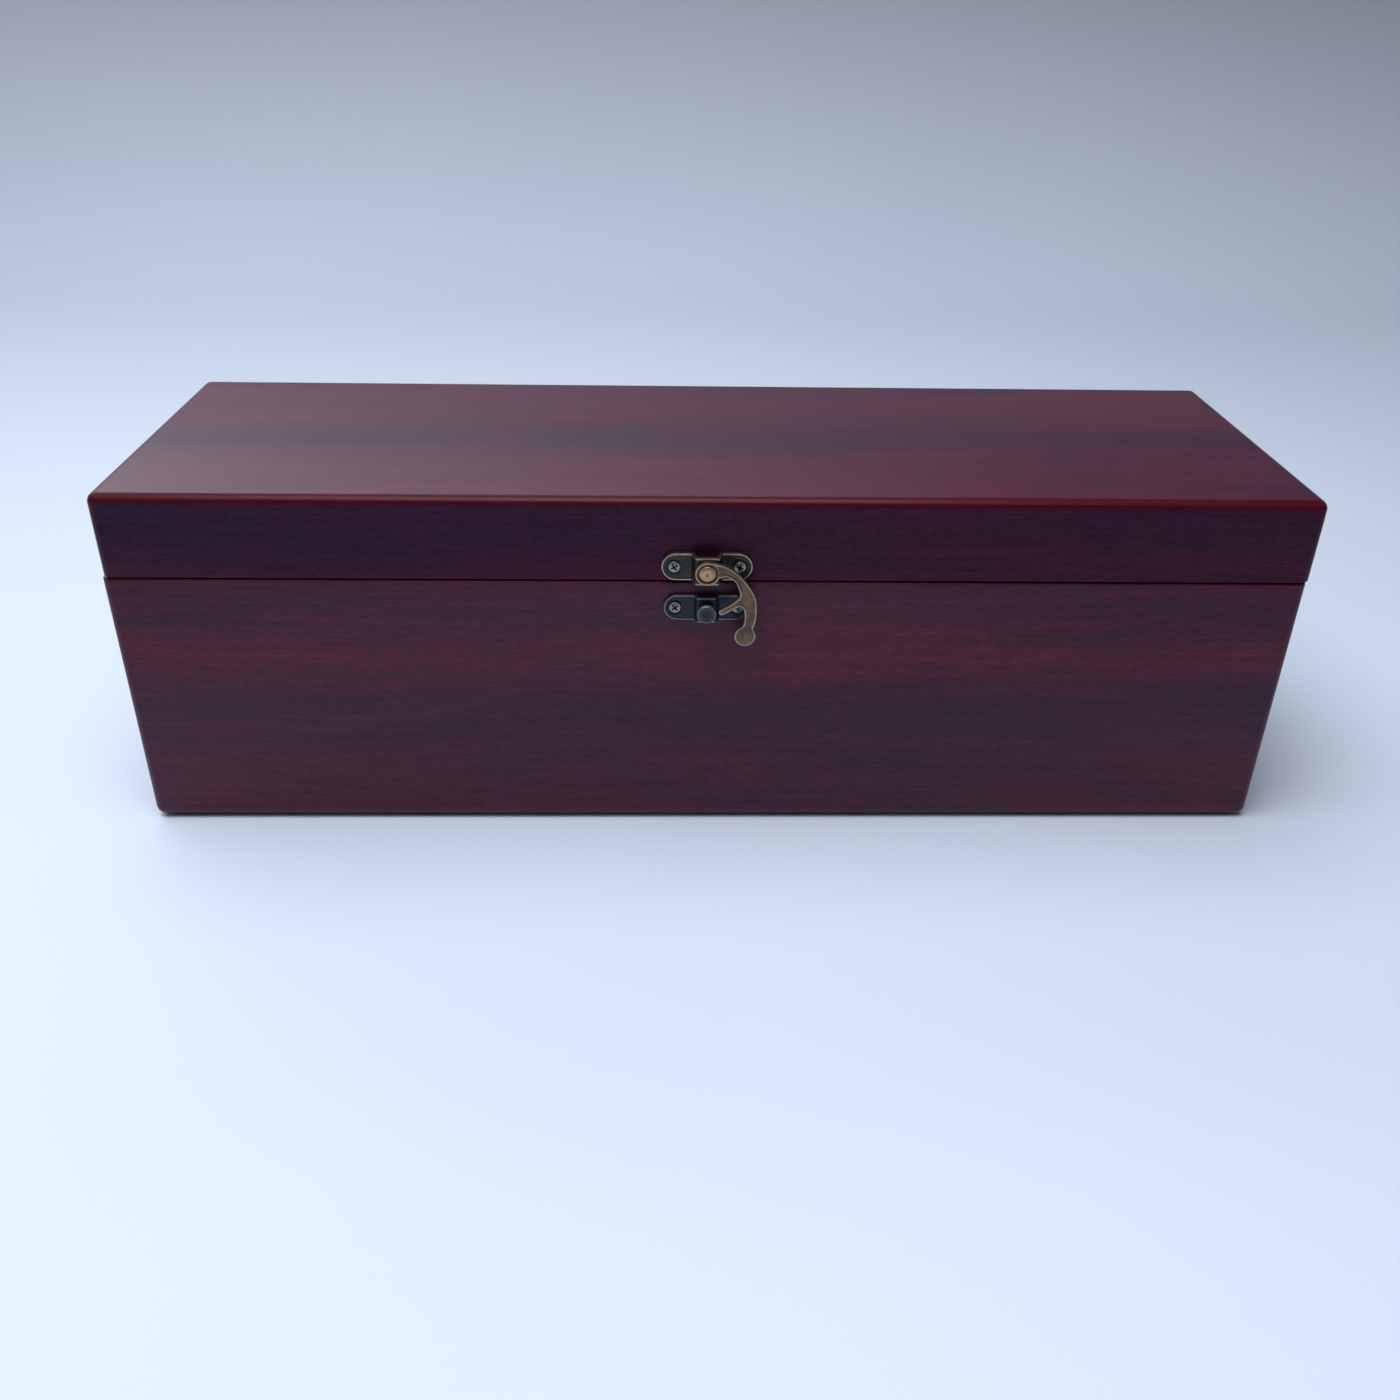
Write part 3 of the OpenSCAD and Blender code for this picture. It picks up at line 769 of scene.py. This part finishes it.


# Patina, patches and bright metal, which is rubbed wear and painted highlight,
# then how far the points' value brightens it and its least roughness
BRONZES = {
    "hinge": ((0.075, 0.062, 0.045), (0.16, 0.12, 0.075), (0.55, 0.47, 0.34), 0.8, 0.34),
    "plate": ((0.034, 0.036, 0.040), (0.066, 0.050, 0.034), (0.60, 0.50, 0.38), 0.8, 0.30),
    "hook": ((0.115, 0.084, 0.060), (0.21, 0.13, 0.072), (0.60, 0.48, 0.35), 0.62, 0.30),
    "catch": ((0.026, 0.033, 0.047), (0.034, 0.036, 0.042), (0.36, 0.36, 0.37), 0.55, 0.30),
    # The stud's pale bright metal, with its head's high values, paints a highlight round the head,
    # with some rubbing of its edge
    "stud": ((0.026, 0.033, 0.047), (0.034, 0.036, 0.042), (0.66, 0.63, 0.60), 0.85, 0.30),
    "rivet": ((0.44, 0.235, 0.10), (0.56, 0.34, 0.16), (0.72, 0.52, 0.34), 0.6, 0.34),
}


def bronze(kind):
    """Antiqued casting: dark patina with brown patches, bright as rubbed metal and painted
    highlight where its points' value is high.
    """
    dark, brown, bright_metal, brightening, rough = BRONZES[kind]
    mat, t = new_material("bronze_" + kind)
    point = object_point(t)
    patch = noise_at(t, point, 420, 3, 0.6)
    grit = noise_at(t, point, 2600, 3, 0.65)
    tone = mix(t, ramp(t, patch, ((0.40, 0.0), (0.66, 1.0))), dark, brown)
    tone = mix(t, ramp(t, grit, ((0.35, 0.35), (0.65, 0.0))), tone, tuple(c * 0.35 for c in dark))
    rub_and_highlight = times(t, attribute(t, "wear_and_painted_light"), brightening)
    rub_and_highlight = times(t, rub_and_highlight, ramp(t, patch, ((0.30, 0.65), (0.62, 1.0))), clamp=True)
    # Rubbed wear and painted highlight: the patina gives way to bright metal
    tone = mix(t, rub_and_highlight, tone, bright_metal)
    roughness = plus(t, rough, times(t, grit, 0.18))
    roughness = maths(t, "SUBTRACT", roughness, times(t, rub_and_highlight, 0.12))
    shade(t, {
        "Base Color": tone,
        "Metallic": 0.85,
        "Roughness": roughness,
        "Normal": bumped(t, plus(t, grit, patch), 0.35, 0.00008),
    })
    return mat


def cross_screw(bm, u, z0, turn, segments=48):
    """Adds a raised-head cross-slot screw, its slot's points marked 0 in the layer its material
    reads, so the slot gets painted shade.
    """
    layer = bm.verts.layers.float.get("wear_and_painted_light") or bm.verts.layers.float.new("wear_and_painted_light")
    face_q, dome, deep, rim_r = 1.5, 0.28, 0.6, 1.66
    # Radius and share of the dome's height
    rings = ((1.35, 0.4), (1.2, 0.75), (0.95, 0.98), (0.6, 1.0))

    def vert(x, y, q, wear_and_painted_light):
        v = bm.verts.new(at_latch(u + x, q, y, z0))
        v[layer] = wear_and_painted_light
        return v

    # Radius and depth from the tip to under the head
    body = [(0.0, -6.5), (0.95, -4.5), (0.95, 0.7), (1.55, 1.3), (1.72, 1.44), (1.72, 1.52)]
    tip = vert(0, 0, body[0][1], 0.3)
    hoops = [[vert(x, y, q, 0.3) for x, y in circle(r, segments)] for r, q in body[1:]]
    for i in range(segments):
        bm.faces.new((tip, hoops[0][(i + 1) % segments], hoops[0][i]))
    skirts(bm, hoops)

    # Half width and reach of the cross slot's four arms
    w, reach = 0.23, 1.08
    half = [(w, w), (w, reach - 0.1), (w * 0.5, reach), (-w * 0.5, reach), (-w, reach - 0.1)]
    slot = []
    for k in range(4):
        a = math.radians(turn - 90 * k)
        c, s = math.cos(a), math.sin(a)
        slot += [(x * c - y * s, x * s + y * c) for x, y in reversed(half)]
    slot = slot[::-1]
    cross = np.array(slot)

    flat = [Vector(p) for p in circle(rim_r, segments)]
    for r, _ in rings:
        around = [Vector(p) for p in circle(r, 36)]
        flat += [p for p in around if outline_distance(cross, np.array([p]))[0] > 0.07]
    edges = ring_edges(len(flat), len(slot)) + ring_edges(0, segments)
    pts, tris = triangulated(flat + [Vector(p) for p in slot], edges)
    heights = np.interp(
        np.hypot(pts[:, 0], pts[:, 1]),
        [r for r, _ in reversed(rings)] + [rim_r],
        [face_q + dome * h for _, h in reversed(rings)] + [face_q + 0.09],
    )
    # The slot's lip and floor are marked low, for painted shade in the slot
    wear_and_painted_light = np.where(np.abs(outline_distance(cross, pts)) < 0.01, 0.35, 1.0)
    top = [vert(x, y, q, w) for (x, y), q, w in zip(pts, heights, wear_and_painted_light)]
    for f in tris:
        if outline_distance(cross, pts[list(f)].mean(0)[None])[0] > 0:
            bm.faces.new([top[i] for i in f])
    rim = sorted(
        (i for i in range(len(pts)) if math.hypot(*pts[i]) > rim_r - 0.01),
        key=lambda i: math.atan2(pts[i][1], pts[i][0]) % (2 * math.pi),
    )
    skirt(bm, hoops[-1], [top[i] for i in rim])
    index = {tuple(np.round(p, 5)): i for i, p in enumerate(pts)}
    lip = [top[index[tuple(np.round(np.array(p), 5))]] for p in slot]
    floor = [vert(x * 0.72, y * 0.72, face_q + dome - deep, 0.0) for x, y in slot]
    skirt(bm, lip, floor)
    bm.faces.new(floor)


def make_screws():
    nickel = plated()
    for node_name, xs, z0, turns in (
        ("latch_plate_screws", (-9.7, 9.7), PIVOT_Z, (32, 70)),
        ("catch_plate_screws", (-9.4, 9.4), STUD_Z, (38, 12)),
    ):
        bm = bmesh.new()
        for u, turn in zip(xs, turns):
            cross_screw(bm, u, z0, turn)
        obj = finish_mesh(bm, "cross_" + node_name, nickel, 35)
        stand_for(obj, node_name)


def plated():
    """Nickel-plated steel, painted nearly black where its points' value is low: painted shade in
    the screw slots.
    """
    mat, t = new_material("nickel_screw")
    point = object_point(t)
    grit = noise_at(t, point, 2400, 3, 0.6)
    cloud = noise_at(t, point, 500, 2, 0.5)
    tone = mix(t, cloud, (0.17, 0.165, 0.16), (0.36, 0.35, 0.335))
    # Painted shade: nearly black where the points' value is low, in the slots
    slot_shade = maths(t, "SUBTRACT", 1.0, attribute(t, "wear_and_painted_light"), clamp=True)
    tone = mix(t, slot_shade, tone, (0.012, 0.011, 0.011))
    roughness = plus(t, 0.22, times(t, grit, 0.2))
    shade(t, {
        "Base Color": tone,
        "Metallic": 0.95,
        "Roughness": roughness,
        "Normal": bumped(t, grit, 0.25, 0.00005),
    })
    return mat


def worn_copy(node_name, mat, width, segments=2):
    """A copy of a CAD node with its sharp edges eased and rubbed."""
    bm = copy_mesh(node_name)
    layer = bm.verts.layers.float.new("wear_and_painted_light")
    sharp = [e for e in bm.edges if folded(e, SHARP) and e.calc_length() > width * 0.5]
    for v in ease(bm, sharp, width, segments):
        v[layer] = 0.8
    return finish_mesh(bm, "eased_" + node_name, mat, 35)


def make_hinges():
    leaf = bronze("hinge")
    for side in ("left", "right"):
        for half in ("base", "lid"):
            name = f"{side}_hinge_{half}_leaf"
            stand_for(worn_copy(name, leaf, 0.14 * MM), name)
        name = f"{side}_hinge_pin"
        stand_for(worn_copy(name, leaf, 0.12 * MM), name)
    for half in ("base", "lid"):
        name = f"hinge_{half}_screws"
        stand_for(worn_copy(name, leaf, 0.05 * MM, 1), name)


def make_latch():
    make_screws()
    make_hinges()
    top = plate("cast_latch_plate", 27, 8.6, 3.6, 6.6, 1.4, 9.7, PIVOT_Z, bronze("plate"))
    stand_for(top, "latch_plate")
    low = plate("cast_catch_plate", 25.6, 8.2, 2, 5.2, 1.2, 9.4, STUD_Z, bronze("catch"))
    stand_for(low, "catch_plate")

    hook = relief(
        "cast_hook", hook_field, (-4.3, -24.2), (15.4, 4.3), hook_front,
        lambda pts, depth: 5.2 + rounded_edge(depth, 0.15), PIVOT_Z, bronze("hook"),
    )
    stand_for(hook, "latch_hook")

    rivet = [(0, 3.0), (1.7, 3.0), (1.9, 3.2), (1.9, 3.6), (1.2, 3.6), (1.2, 6.25), (2.3, 6.25)]
    rivet += arc(2.23, 6.47, 0.22, -40, 35, 5)
    rivet += [(2.2, 6.78), (1.9, 6.93), (1.5, 7.04), (1.05, 7.09), (0.72, 7.08), (0.55, 7.0)]
    rivet += [(0.4, 6.88), (0.22, 6.8), (0, 6.78)]
    wear_and_painted_light = [0.0] * 7 + [0.8] * 5 + [0.9, 0.4, 0.3, 0.6, 0.9, 0.2, 0.0, 0.0, 0.0]
    head = lathe("latch_rivet_head", rivet, PIVOT_Z, bronze("rivet"), wear_and_painted_light)
    stand_for(head, "latch_rivet")

    stud = [(0, 1.4), (1.7, 1.4), (1.9, 1.6), (1.9, 2.0), (1.2, 2.0), (1.2, 3.5), (1.7, 3.5)]
    stud += [(1.7, 5.0), (1.78, 5.1), (2.55, 5.1)] + arc(2.55, 5.35, 0.25, -60, 0, 4)
    stud += arc(2.45, 6.45, 0.35, 0, 90, 8) + [(2.0, 6.74), (1.0, 6.7), (0, 6.7)]
    # High values on the head's side wall and front edge: a painted highlight ringing the head,
    # with its edge rubbed
    wear_and_painted_light = [0.0] * 10 + [0.6] * 4 + [1.2, 1.2, 1.1, 0.8, 0.5, 0.3, 0.2, 0.1, 0.05, 0, 0]
    post = lathe("catch_stud_post", stud, STUD_Z, bronze("stud"), wear_and_painted_light)
    stand_for(post, "catch_stud")


# ---------- Satin-covered linings, pads and bottle bed ----------


def satin(name, colour, wrinkle):
    """Champagne satin: a fine weave of long floats with a soft sheen and slack creases."""
    mat, t = new_material(name)
    point = object_point(t)
    slanted = stretched(t, point, (1, 1, 1), (0.1, 0.6, 0.5))
    waves = {"Vector": slanted, "Scale": 900.0, "Distortion": 1.2}
    warp = node(t, "TexWave", waves).outputs["Fac"]
    weft = noise_at(t, stretched(t, point, (260, 2600, 2600)), 1, 2, 0.6)
    crease = noise_at(t, stretched(t, point, (55, 26, 40)), 1, 3, 0.55)
    cloud = noise_at(t, point, 38, 2, 0.5)
    tone = mix(t, cloud, tuple(c * 0.86 for c in colour), colour)
    tone = mix(t, ramp(t, weft, ((0.3, 0.30), (0.7, 0.0))), tone, tuple(c * 0.55 for c in colour))
    tone = mix(t, ramp(t, warp, ((0.2, 0.12), (0.8, 0.0))), tone, tuple(c * 0.60 for c in colour))
    weave = plus(t, times(t, warp, 0.5), weft)
    normal = bumped(t, crease, wrinkle, 0.004)
    shade(t, {
        "Base Color": tone,
        "Roughness": plus(t, 0.27, times(t, weft, 0.16)),
        "IOR": 1.62,
        "Anisotropic": 0.5,
        "Sheen Weight": 0.35,
        "Sheen Roughness": 0.35,
        "Sheen Tint": (1.0, 0.93, 0.78, 1.0),
        "Normal": bumped(t, weave, 0.18, 0.00012, normal),
    })
    return mat


def prism(profile, x0, x1):
    """Closed bmesh of a (y, z) profile run along X."""
    bm = bmesh.new()
    ends = [[bm.verts.new((x, y, z)) for y, z in profile] for x in (x0, x1)]
    bm.faces.new(ends[0])
    bm.faces.new(list(reversed(ends[1])))
    skirt(bm, *ends)
    bmesh.ops.recalc_face_normals(bm, faces=bm.faces)
    return bm


def evaluated(obj):
    """A mesh of the piece with its modifiers applied."""
    bpy.context.view_layer.update()
    graph = bpy.context.evaluated_depsgraph_get()
    return bpy.data.meshes.new_from_object(obj.evaluated_get(graph))


def swap_mesh(obj, mesh):
    old = obj.data
    obj.modifiers.clear()
    obj.data = mesh
    bpy.data.meshes.remove(old)


def vectors(items, key):
    out = np.zeros(len(items) * 3)
    items.foreach_get(key, out)
    return out.reshape(-1, 3)


def points_of(mesh):
    return vectors(mesh.vertices, "co")


def put_points(mesh, pts):
    mesh.vertices.foreach_set("co", pts.ravel())
    mesh.update()


def remeshed(obj, voxel, smooth):
    m = obj.modifiers.new("voxels", "REMESH")
    m.mode = "VOXEL"
    m.voxel_size = voxel
    m = obj.modifiers.new("smooth", "SMOOTH")
    m.factor, m.iterations = 0.5, smooth
    swap_mesh(obj, evaluated(obj))


CLOTH_FRAMES = 20


def inflate(obj, held, cap):
    """Blows the cover up like a stuffed pad. held(points) says how firmly each point is glued
    down, from 0 to 1; cap is the furthest a point may move, in metres."""
    start = points_of(obj.data)
    group = obj.vertex_groups.new(name="held")
    for i, w in enumerate(held(start)):
        if w > 0.01:
            group.add([i], float(w), "REPLACE")
    cloth = obj.modifiers.new("cloth", "CLOTH")
    cfg = cloth.settings
    cfg.quality = 5
    cfg.mass = 0.15
    cfg.tension_stiffness = cfg.compression_stiffness = 12
    cfg.shear_stiffness = 4
    cfg.bending_stiffness = 0.4
    cfg.vertex_group_mass = "held"
    cfg.use_pressure = True
    cfg.uniform_pressure_force = 4.0
    cfg.effector_weights.gravity = 0
    cfg.shrink_min = -0.03
    cloth.collision_settings.use_collision = False
    cloth.point_cache.frame_start, cloth.point_cache.frame_end = 1, CLOTH_FRAMES
    scene = bpy.context.scene
    for frame_now in range(1, CLOTH_FRAMES + 1):
        scene.frame_set(frame_now)
    mesh = evaluated(obj)
    moved = points_of(mesh) - start
    length = np.linalg.norm(moved, axis=1)[:, None]
    moved *= np.minimum(1, cap / np.maximum(length, 1e-9))
    put_points(mesh, start + moved)
    obj.vertex_groups.clear()
    swap_mesh(obj, mesh)
    scene.frame_set(1)


def refined(obj):
    m = obj.modifiers.new("subdivision", "SUBSURF")
    m.levels = m.render_levels = 1
    swap_mesh(obj, evaluated(obj))


def fold(obj, height):
    """Moves each point along its normal by height(points, normals), in metres."""
    pts, out = points_of(obj.data), vectors(obj.data.vertex_normals, "vector")
    put_points(obj.data, pts + out * height(pts, out)[:, None])


def wavy(pts, scale, seed):
    """Smooth noise from about -1 to 1 at the points scaled by (x, y, z)."""
    move = Vector((seed * 7.3, seed * 3.1, seed * 5.7))
    return np.array([noise.noise(Vector(p * scale) + move) for p in pts])


def soft_piece(obj, node_name, mat):
    """Finishes a padded piece and keeps it in its CAD node's space."""
    dress(obj, mat)
    low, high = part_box(node_name)
    put_points(obj.data, np.clip(points_of(obj.data), np.array(low), np.array(high)))
    stand_for(obj, node_name)


def slab(us, vs, place):
    """Closed bmesh of two skins, a face (1) and a back (0), whose points are place(u, v, skin)."""
    bm = bmesh.new()
    face, back = ([[bm.verts.new(place(u, v, k)) for v in vs] for u in us] for k in (1, 0))
    nu, nv = len(us) - 1, len(vs) - 1
    for i in range(nu):
        for j in range(nv):
            bm.faces.new((face[i][j], face[i + 1][j], face[i + 1][j + 1], face[i][j + 1]))
            bm.faces.new((back[i][j], back[i][j + 1], back[i + 1][j + 1], back[i + 1][j]))
    ring = [(i, 0) for i in range(nu)] + [(nu, j) for j in range(nv)]
    ring += [(i, nv) for i in range(nu, 0, -1)] + [(0, j) for j in range(nv, 0, -1)]
    for (a, b), (c, d) in zip(ring, ring[1:] + ring[:1]):
        bm.faces.new((face[a][b], back[a][b], back[c][d], face[c][d]))
    bmesh.ops.recalc_face_normals(bm, faces=bm.faces)
    return bm


def make_lining(node_name, mat, seed):
    """A thin wadded card wrapped in satin, flat against its wall and rounded at its edges."""
    low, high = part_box(node_name)
    thin = 0 if high.x - low.x < high.y - low.y else 1
    wide = 1 - thin
    inward = 1 if (low[thin] + high[thin]) < 0 else -1
    outer = low[thin] if inward > 0 else high[thin]
    nu = max(6, int((high[wide] - low[wide]) / 0.003))
    nv = max(6, int((high.z - low.z) / 0.0025))
    us = np.linspace(low[wide], high[wide], nu + 1)
    vs = np.linspace(low.z, high.z, nv + 1)
    thick = high[thin] - low[thin]

    def place(u, v, skin):
        inset = min(u - us[0], us[-1] - u, v - vs[0], vs[-1] - v)
        swell = 1 - 0.55 * max(0.0, 1 - inset / 0.007) ** 2
        ripple = noise.noise(Vector((u * 38, v * 22, seed))) * 0.10
        depth = thick * (max(0.0, min(1.0, swell - 0.08 + ripple)) if skin else 0.0)
        p = [0, 0, v]
        p[wide], p[thin] = u, outer + inward * depth
        return p

    obj = obj_from_bm(slab(us, vs, place), "satin_" + node_name)
    soft_piece(obj, node_name, mat)


def make_pad(node_name, mat, seed, glued):
    """A thin wadded pad. glued is the height of its flat, glued face."""
    low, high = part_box(node_name)
    rise = 0.0013
    up = 1 if glued < (low.z + high.z) / 2 else -1
    z0, z1 = (low.z + 0.0002, high.z - rise) if up > 0 else (low.z + rise, high.z - 0.0002)
    side = 0.0006
    y0, y1 = low.y + side, high.y - side
    profile = [(y0, z0), (y1, z0), (y1, z1), (y0, z1)]
    obj = obj_from_bm(prism(profile, low.x + side, high.x - side), "satin_" + node_name)
    remeshed(obj, voxel=0.0022, smooth=3)

    def gap(pts, axis):
        return np.minimum(pts[:, axis] - low[axis], high[axis] - pts[:, axis])

    def held(pts):
        near = np.minimum(gap(pts, 0), gap(pts, 1))
        back = np.abs(pts[:, 2] - glued) < 0.0012
        return np.where(back, 1.0, 0.6 * (near < 0.003))

    inflate(obj, held, cap=0.005)
    refined(obj)

    def creases(pts, out):
        near = np.minimum(gap(pts, 0), gap(pts, 1))
        face = np.clip(out[:, 2] * up, 0, 1)
        along_x = wavy(pts, np.array([150, 18, 10]), seed) * np.exp(-gap(pts, 1) / 0.012)
        along_y = wavy(pts, np.array([18, 150, 10]), seed + 1) * np.exp(-gap(pts, 0) / 0.012)
        slack = wavy(pts, np.array([42, 30, 20]), seed + 2)
        swell = 0.0007 * smoothstep(near, 0.0, 0.012)
        return face * (0.00045 * (along_x + along_y) + 0.0003 * slack + swell - 0.0003)

    fold(obj, creases)
    soft_piece(obj, node_name, mat)


# Height of the bottle's axis above the table
BOTTLE_Z = 0.051


def make_bed(node_name, mat, trough_r, seed, voxel):
    """A foam block with a trough, covered in satin that is drawn in at its ends."""
    low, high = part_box(node_name)
    slack = 0.0012
    y0, y1, z0, z1 = low.y + slack, high.y - slack, low.z + 0.0003, high.z - slack
    r = trough_r + slack
    half = math.sqrt(r * r - (BOTTLE_Z - z1) ** 2)
    tilt = math.asin((BOTTLE_Z - z1) / r)
    turns = np.linspace(-tilt, tilt - math.pi, 25)
    trough = [(r * math.cos(a), BOTTLE_Z + r * math.sin(a)) for a in turns]
    profile = [(y0, z0), (y1, z0), (y1, z1)] + trough + [(y0, z1)]
    obj = obj_from_bm(prism(profile, low.x + slack, high.x - slack), "satin_" + node_name)
    remeshed(obj, voxel, smooth=4)

    def held(pts):
        bottom = pts[:, 2] < low.z + 0.002
        lowest = np.hypot(pts[:, 1], pts[:, 2] - BOTTLE_Z) < r + 0.0015
        sunk = lowest & (np.abs(pts[:, 1]) < half * 0.8)
        return np.where(bottom, 1.0, np.where(sunk, 0.5, 0.0))

    inflate(obj, held, cap=0.003)
    refined(obj)

    def creases(pts, out):
        ends = np.minimum(pts[:, 0] - low.x, high.x - pts[:, 0])
        radial = np.arctan2(pts[:, 2] - BOTTLE_Z, pts[:, 1])
        tucks = wavy(
            np.stack([pts[:, 0] * 0.4, radial * trough_r, pts[:, 2] * 0], 1),
            np.array([60, 120, 0]),
            seed,
        ) * np.exp(-ends / 0.014)
        across = wavy(pts, np.array([95, 14, 14]), seed + 1)
        top = smoothstep(pts[:, 2], low.z + 0.004, low.z + 0.012)
        return top * (0.0007 * tucks + 0.00035 * across) - 0.0001

    fold(obj, creases)
    out = points_of(obj.data)
    reach = np.hypot(out[:, 1], out[:, 2] - BOTTLE_Z)
    inside = (reach < trough_r) & (out[:, 2] > low.z + 0.003)
    scale = np.where(inside, trough_r / np.maximum(reach, 1e-6), 1.0)
    out[:, 1] *= scale
    out[:, 2] = BOTTLE_Z + (out[:, 2] - BOTTLE_Z) * scale
    put_points(obj.data, out)
    soft_piece(obj, node_name, mat)


def make_felt():
    """Black felt glued under the base: a matted sheet, uneven below and lifted at its edge."""
    low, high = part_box("base_felt")
    mat, t = new_material("black_felt")
    point = object_point(t)
    clump = noise_at(t, point, 900, 4, 0.7)
    hair = noise_at(t, stretched(t, point, (700, 4200, 4200), (0, 0, 0.7)), 1, 2, 0.6)
    tone = mix(t, clump, (0.010, 0.010, 0.012), (0.035, 0.034, 0.038))
    tone = mix(t, ramp(t, hair, ((0.6, 0.0), (0.75, 0.5))), tone, (0.07, 0.07, 0.075))
    shade(t, {
        "Base Color": tone,
        "Roughness": 0.95,
        "IOR": 1.3,
        "Sheen Weight": 0.5,
        "Sheen Roughness": 0.6,
        "Normal": bumped(t, plus(t, clump, hair), 0.6, 0.0004),
    })
    step = 0.003
    xs = np.linspace(low.x, high.x, int((high.x - low.x) / step) + 1)
    ys = np.linspace(low.y, high.y, int((high.y - low.y) / step) + 1)
    corner = 6 * MM

    def place(x, y, skin):
        cx = min(max(x, low.x + corner), high.x - corner)
        cy = min(max(y, low.y + corner), high.y - corner)
        off = Vector((x - cx, y - cy))
        if off.length > corner:
            off = off.normalized() * corner
        px, py = cx + off.x, cy + off.y
        rim = min(px - low.x, high.x - px, py - low.y, high.y - py) < 0.1 * MM
        nap = 0.01 * MM * (noise.noise(Vector((px * 160, py * 160, 4))) + 1)
        return px, py, high.z if skin else low.z + 0.05 * MM + nap + 0.2 * MM * rim

    obj = obj_from_bm(slab(xs, ys, place), "felt_sheet")
    dress(obj, mat)
    stand_for(obj, "base_felt")


def make_soft():
    gold = satin("champagne_satin", (0.70, 0.585, 0.40), 0.22)
    slack = satin("champagne_satin_slack", (0.70, 0.585, 0.40), 0.45)
    sides = ("front", "back", "left", "right")
    names = [f"{half}_{side}_lining" for half in ("base", "lid") for side in sides]
    for n, name in enumerate(names):
        make_lining(name, gold, n * 2.3)
    make_pad("floor_pad", slack, 1.0, FLOOR_Z)
    make_pad("lid_pad", slack, 4.0, CEILING_Z)
    make_bed("bottle_cradle", slack, 0.039, 2.0, 0.0036)
    make_bed("neck_rest", slack, 0.016, 6.0, 0.0026)
    make_felt()


# ---------- Stage and light ----------


def make_stage():
    """Pale floor that sweeps up into a backdrop on every side of the box."""
    half_x, half_y, middle_y, corner = 1.35, 1.035, -0.415, 0.4
    sweep, wall_top = 0.45, 2.2
    turns = np.linspace(0, math.pi / 2, 25)
    levels = [(sweep * math.sin(a), sweep * (1 - math.cos(a))) for a in turns]
    levels.append((sweep, wall_top))
    bm = bmesh.new()
    loops = []
    for grown, z in levels:
        ring = round_corners(half_x, half_y, corner, corner + grown, 13)
        loops.append([bm.verts.new((x, y + middle_y, z)) for x, y, _ in ring])
    skirts(bm, loops[::-1])
    bm.faces.new(loops[0])
    floor = obj_from_bm(bm, "floor")
    mat, t = new_material("pale_paper")
    point = object_point(t)
    cloud = noise_at(t, point, 3.2, 3, 0.5)
    fine = noise_at(t, point, 260, 2, 0.5)
    tone = mix(t, cloud, (0.64, 0.71, 0.825), (0.70, 0.765, 0.87))
    # Painted shade: the backdrop turns grey with height, fully by 0.26 m
    height = node(t, "SeparateXYZ", {"Vector": point}).outputs["Z"]
    tone = mix(t, ramp(t, height, ((0.01, 1.0), (0.26, 0.0))), (0.37, 0.39, 0.42), tone)
    shade(t, {
        "Base Color": tone,
        "Roughness": 0.75,
        "Normal": bumped(t, fine, 0.05, 0.0003),
    })
    dress(floor, mat)


DAYLIGHT = (0.97, 1.0, 1.06)


def area_light(name, at, aim, size, power, spread=180):
    """A soft light of size in metres and power in watts, its spread in degrees."""
    data = bpy.data.lights.new(name, "AREA")
    data.shape = "RECTANGLE"
    data.size, data.size_y = size
    data.energy = power
    data.color = DAYLIGHT
    data.spread = math.radians(spread)
    lamp = link(bpy.data.objects.new(name, data))
    lamp.visible_camera = False
    lamp.location = at
    lamp.rotation_mode = "QUATERNION"
    lamp.rotation_quaternion = (Vector(aim) - Vector(at)).to_track_quat("-Z", "Y")
    return lamp


def make_lights():
    ceiling = area_light("ceiling", (-0.4, -0.15, 1.5), (0, 0, 0), (1.8, 1.5), 23.5)
    # Lights the scene evenly but leaves the lacquer's reflections to the others
    ceiling.visible_glossy = False
    area_light("key", (-0.1, -0.25, 0.75), (-0.1, -0.2, 0), (0.6, 0.4), 2.1)
    area_light("glow", (-0.85, 0.85, 0.72), (-0.1, 0, 0.1), (0.8, 0.5), 0.35, spread=60)
    area_light("rear", (-0.2, 1.0, 0.75), (0, 0, 0.1), (1.2, 0.5), 0.45, spread=70)
    world = bpy.data.worlds.new("room")
    bpy.context.scene.world = world
    world.use_nodes = True
    t = world.node_tree
    t.nodes.clear()
    back = node(t, "Background", {"Color": (0.55, 0.60, 0.68, 1), "Strength": 0.08})
    node(t, "OutputWorld", {"Surface": back.outputs["Background"]})
    view = bpy.context.scene.view_settings
    view.view_transform = "Standard"
    view.look = "None"
    view.exposure = 0.0


make_camera()
make_stage()
make_lights()
make_wood()
make_latch()
make_soft()
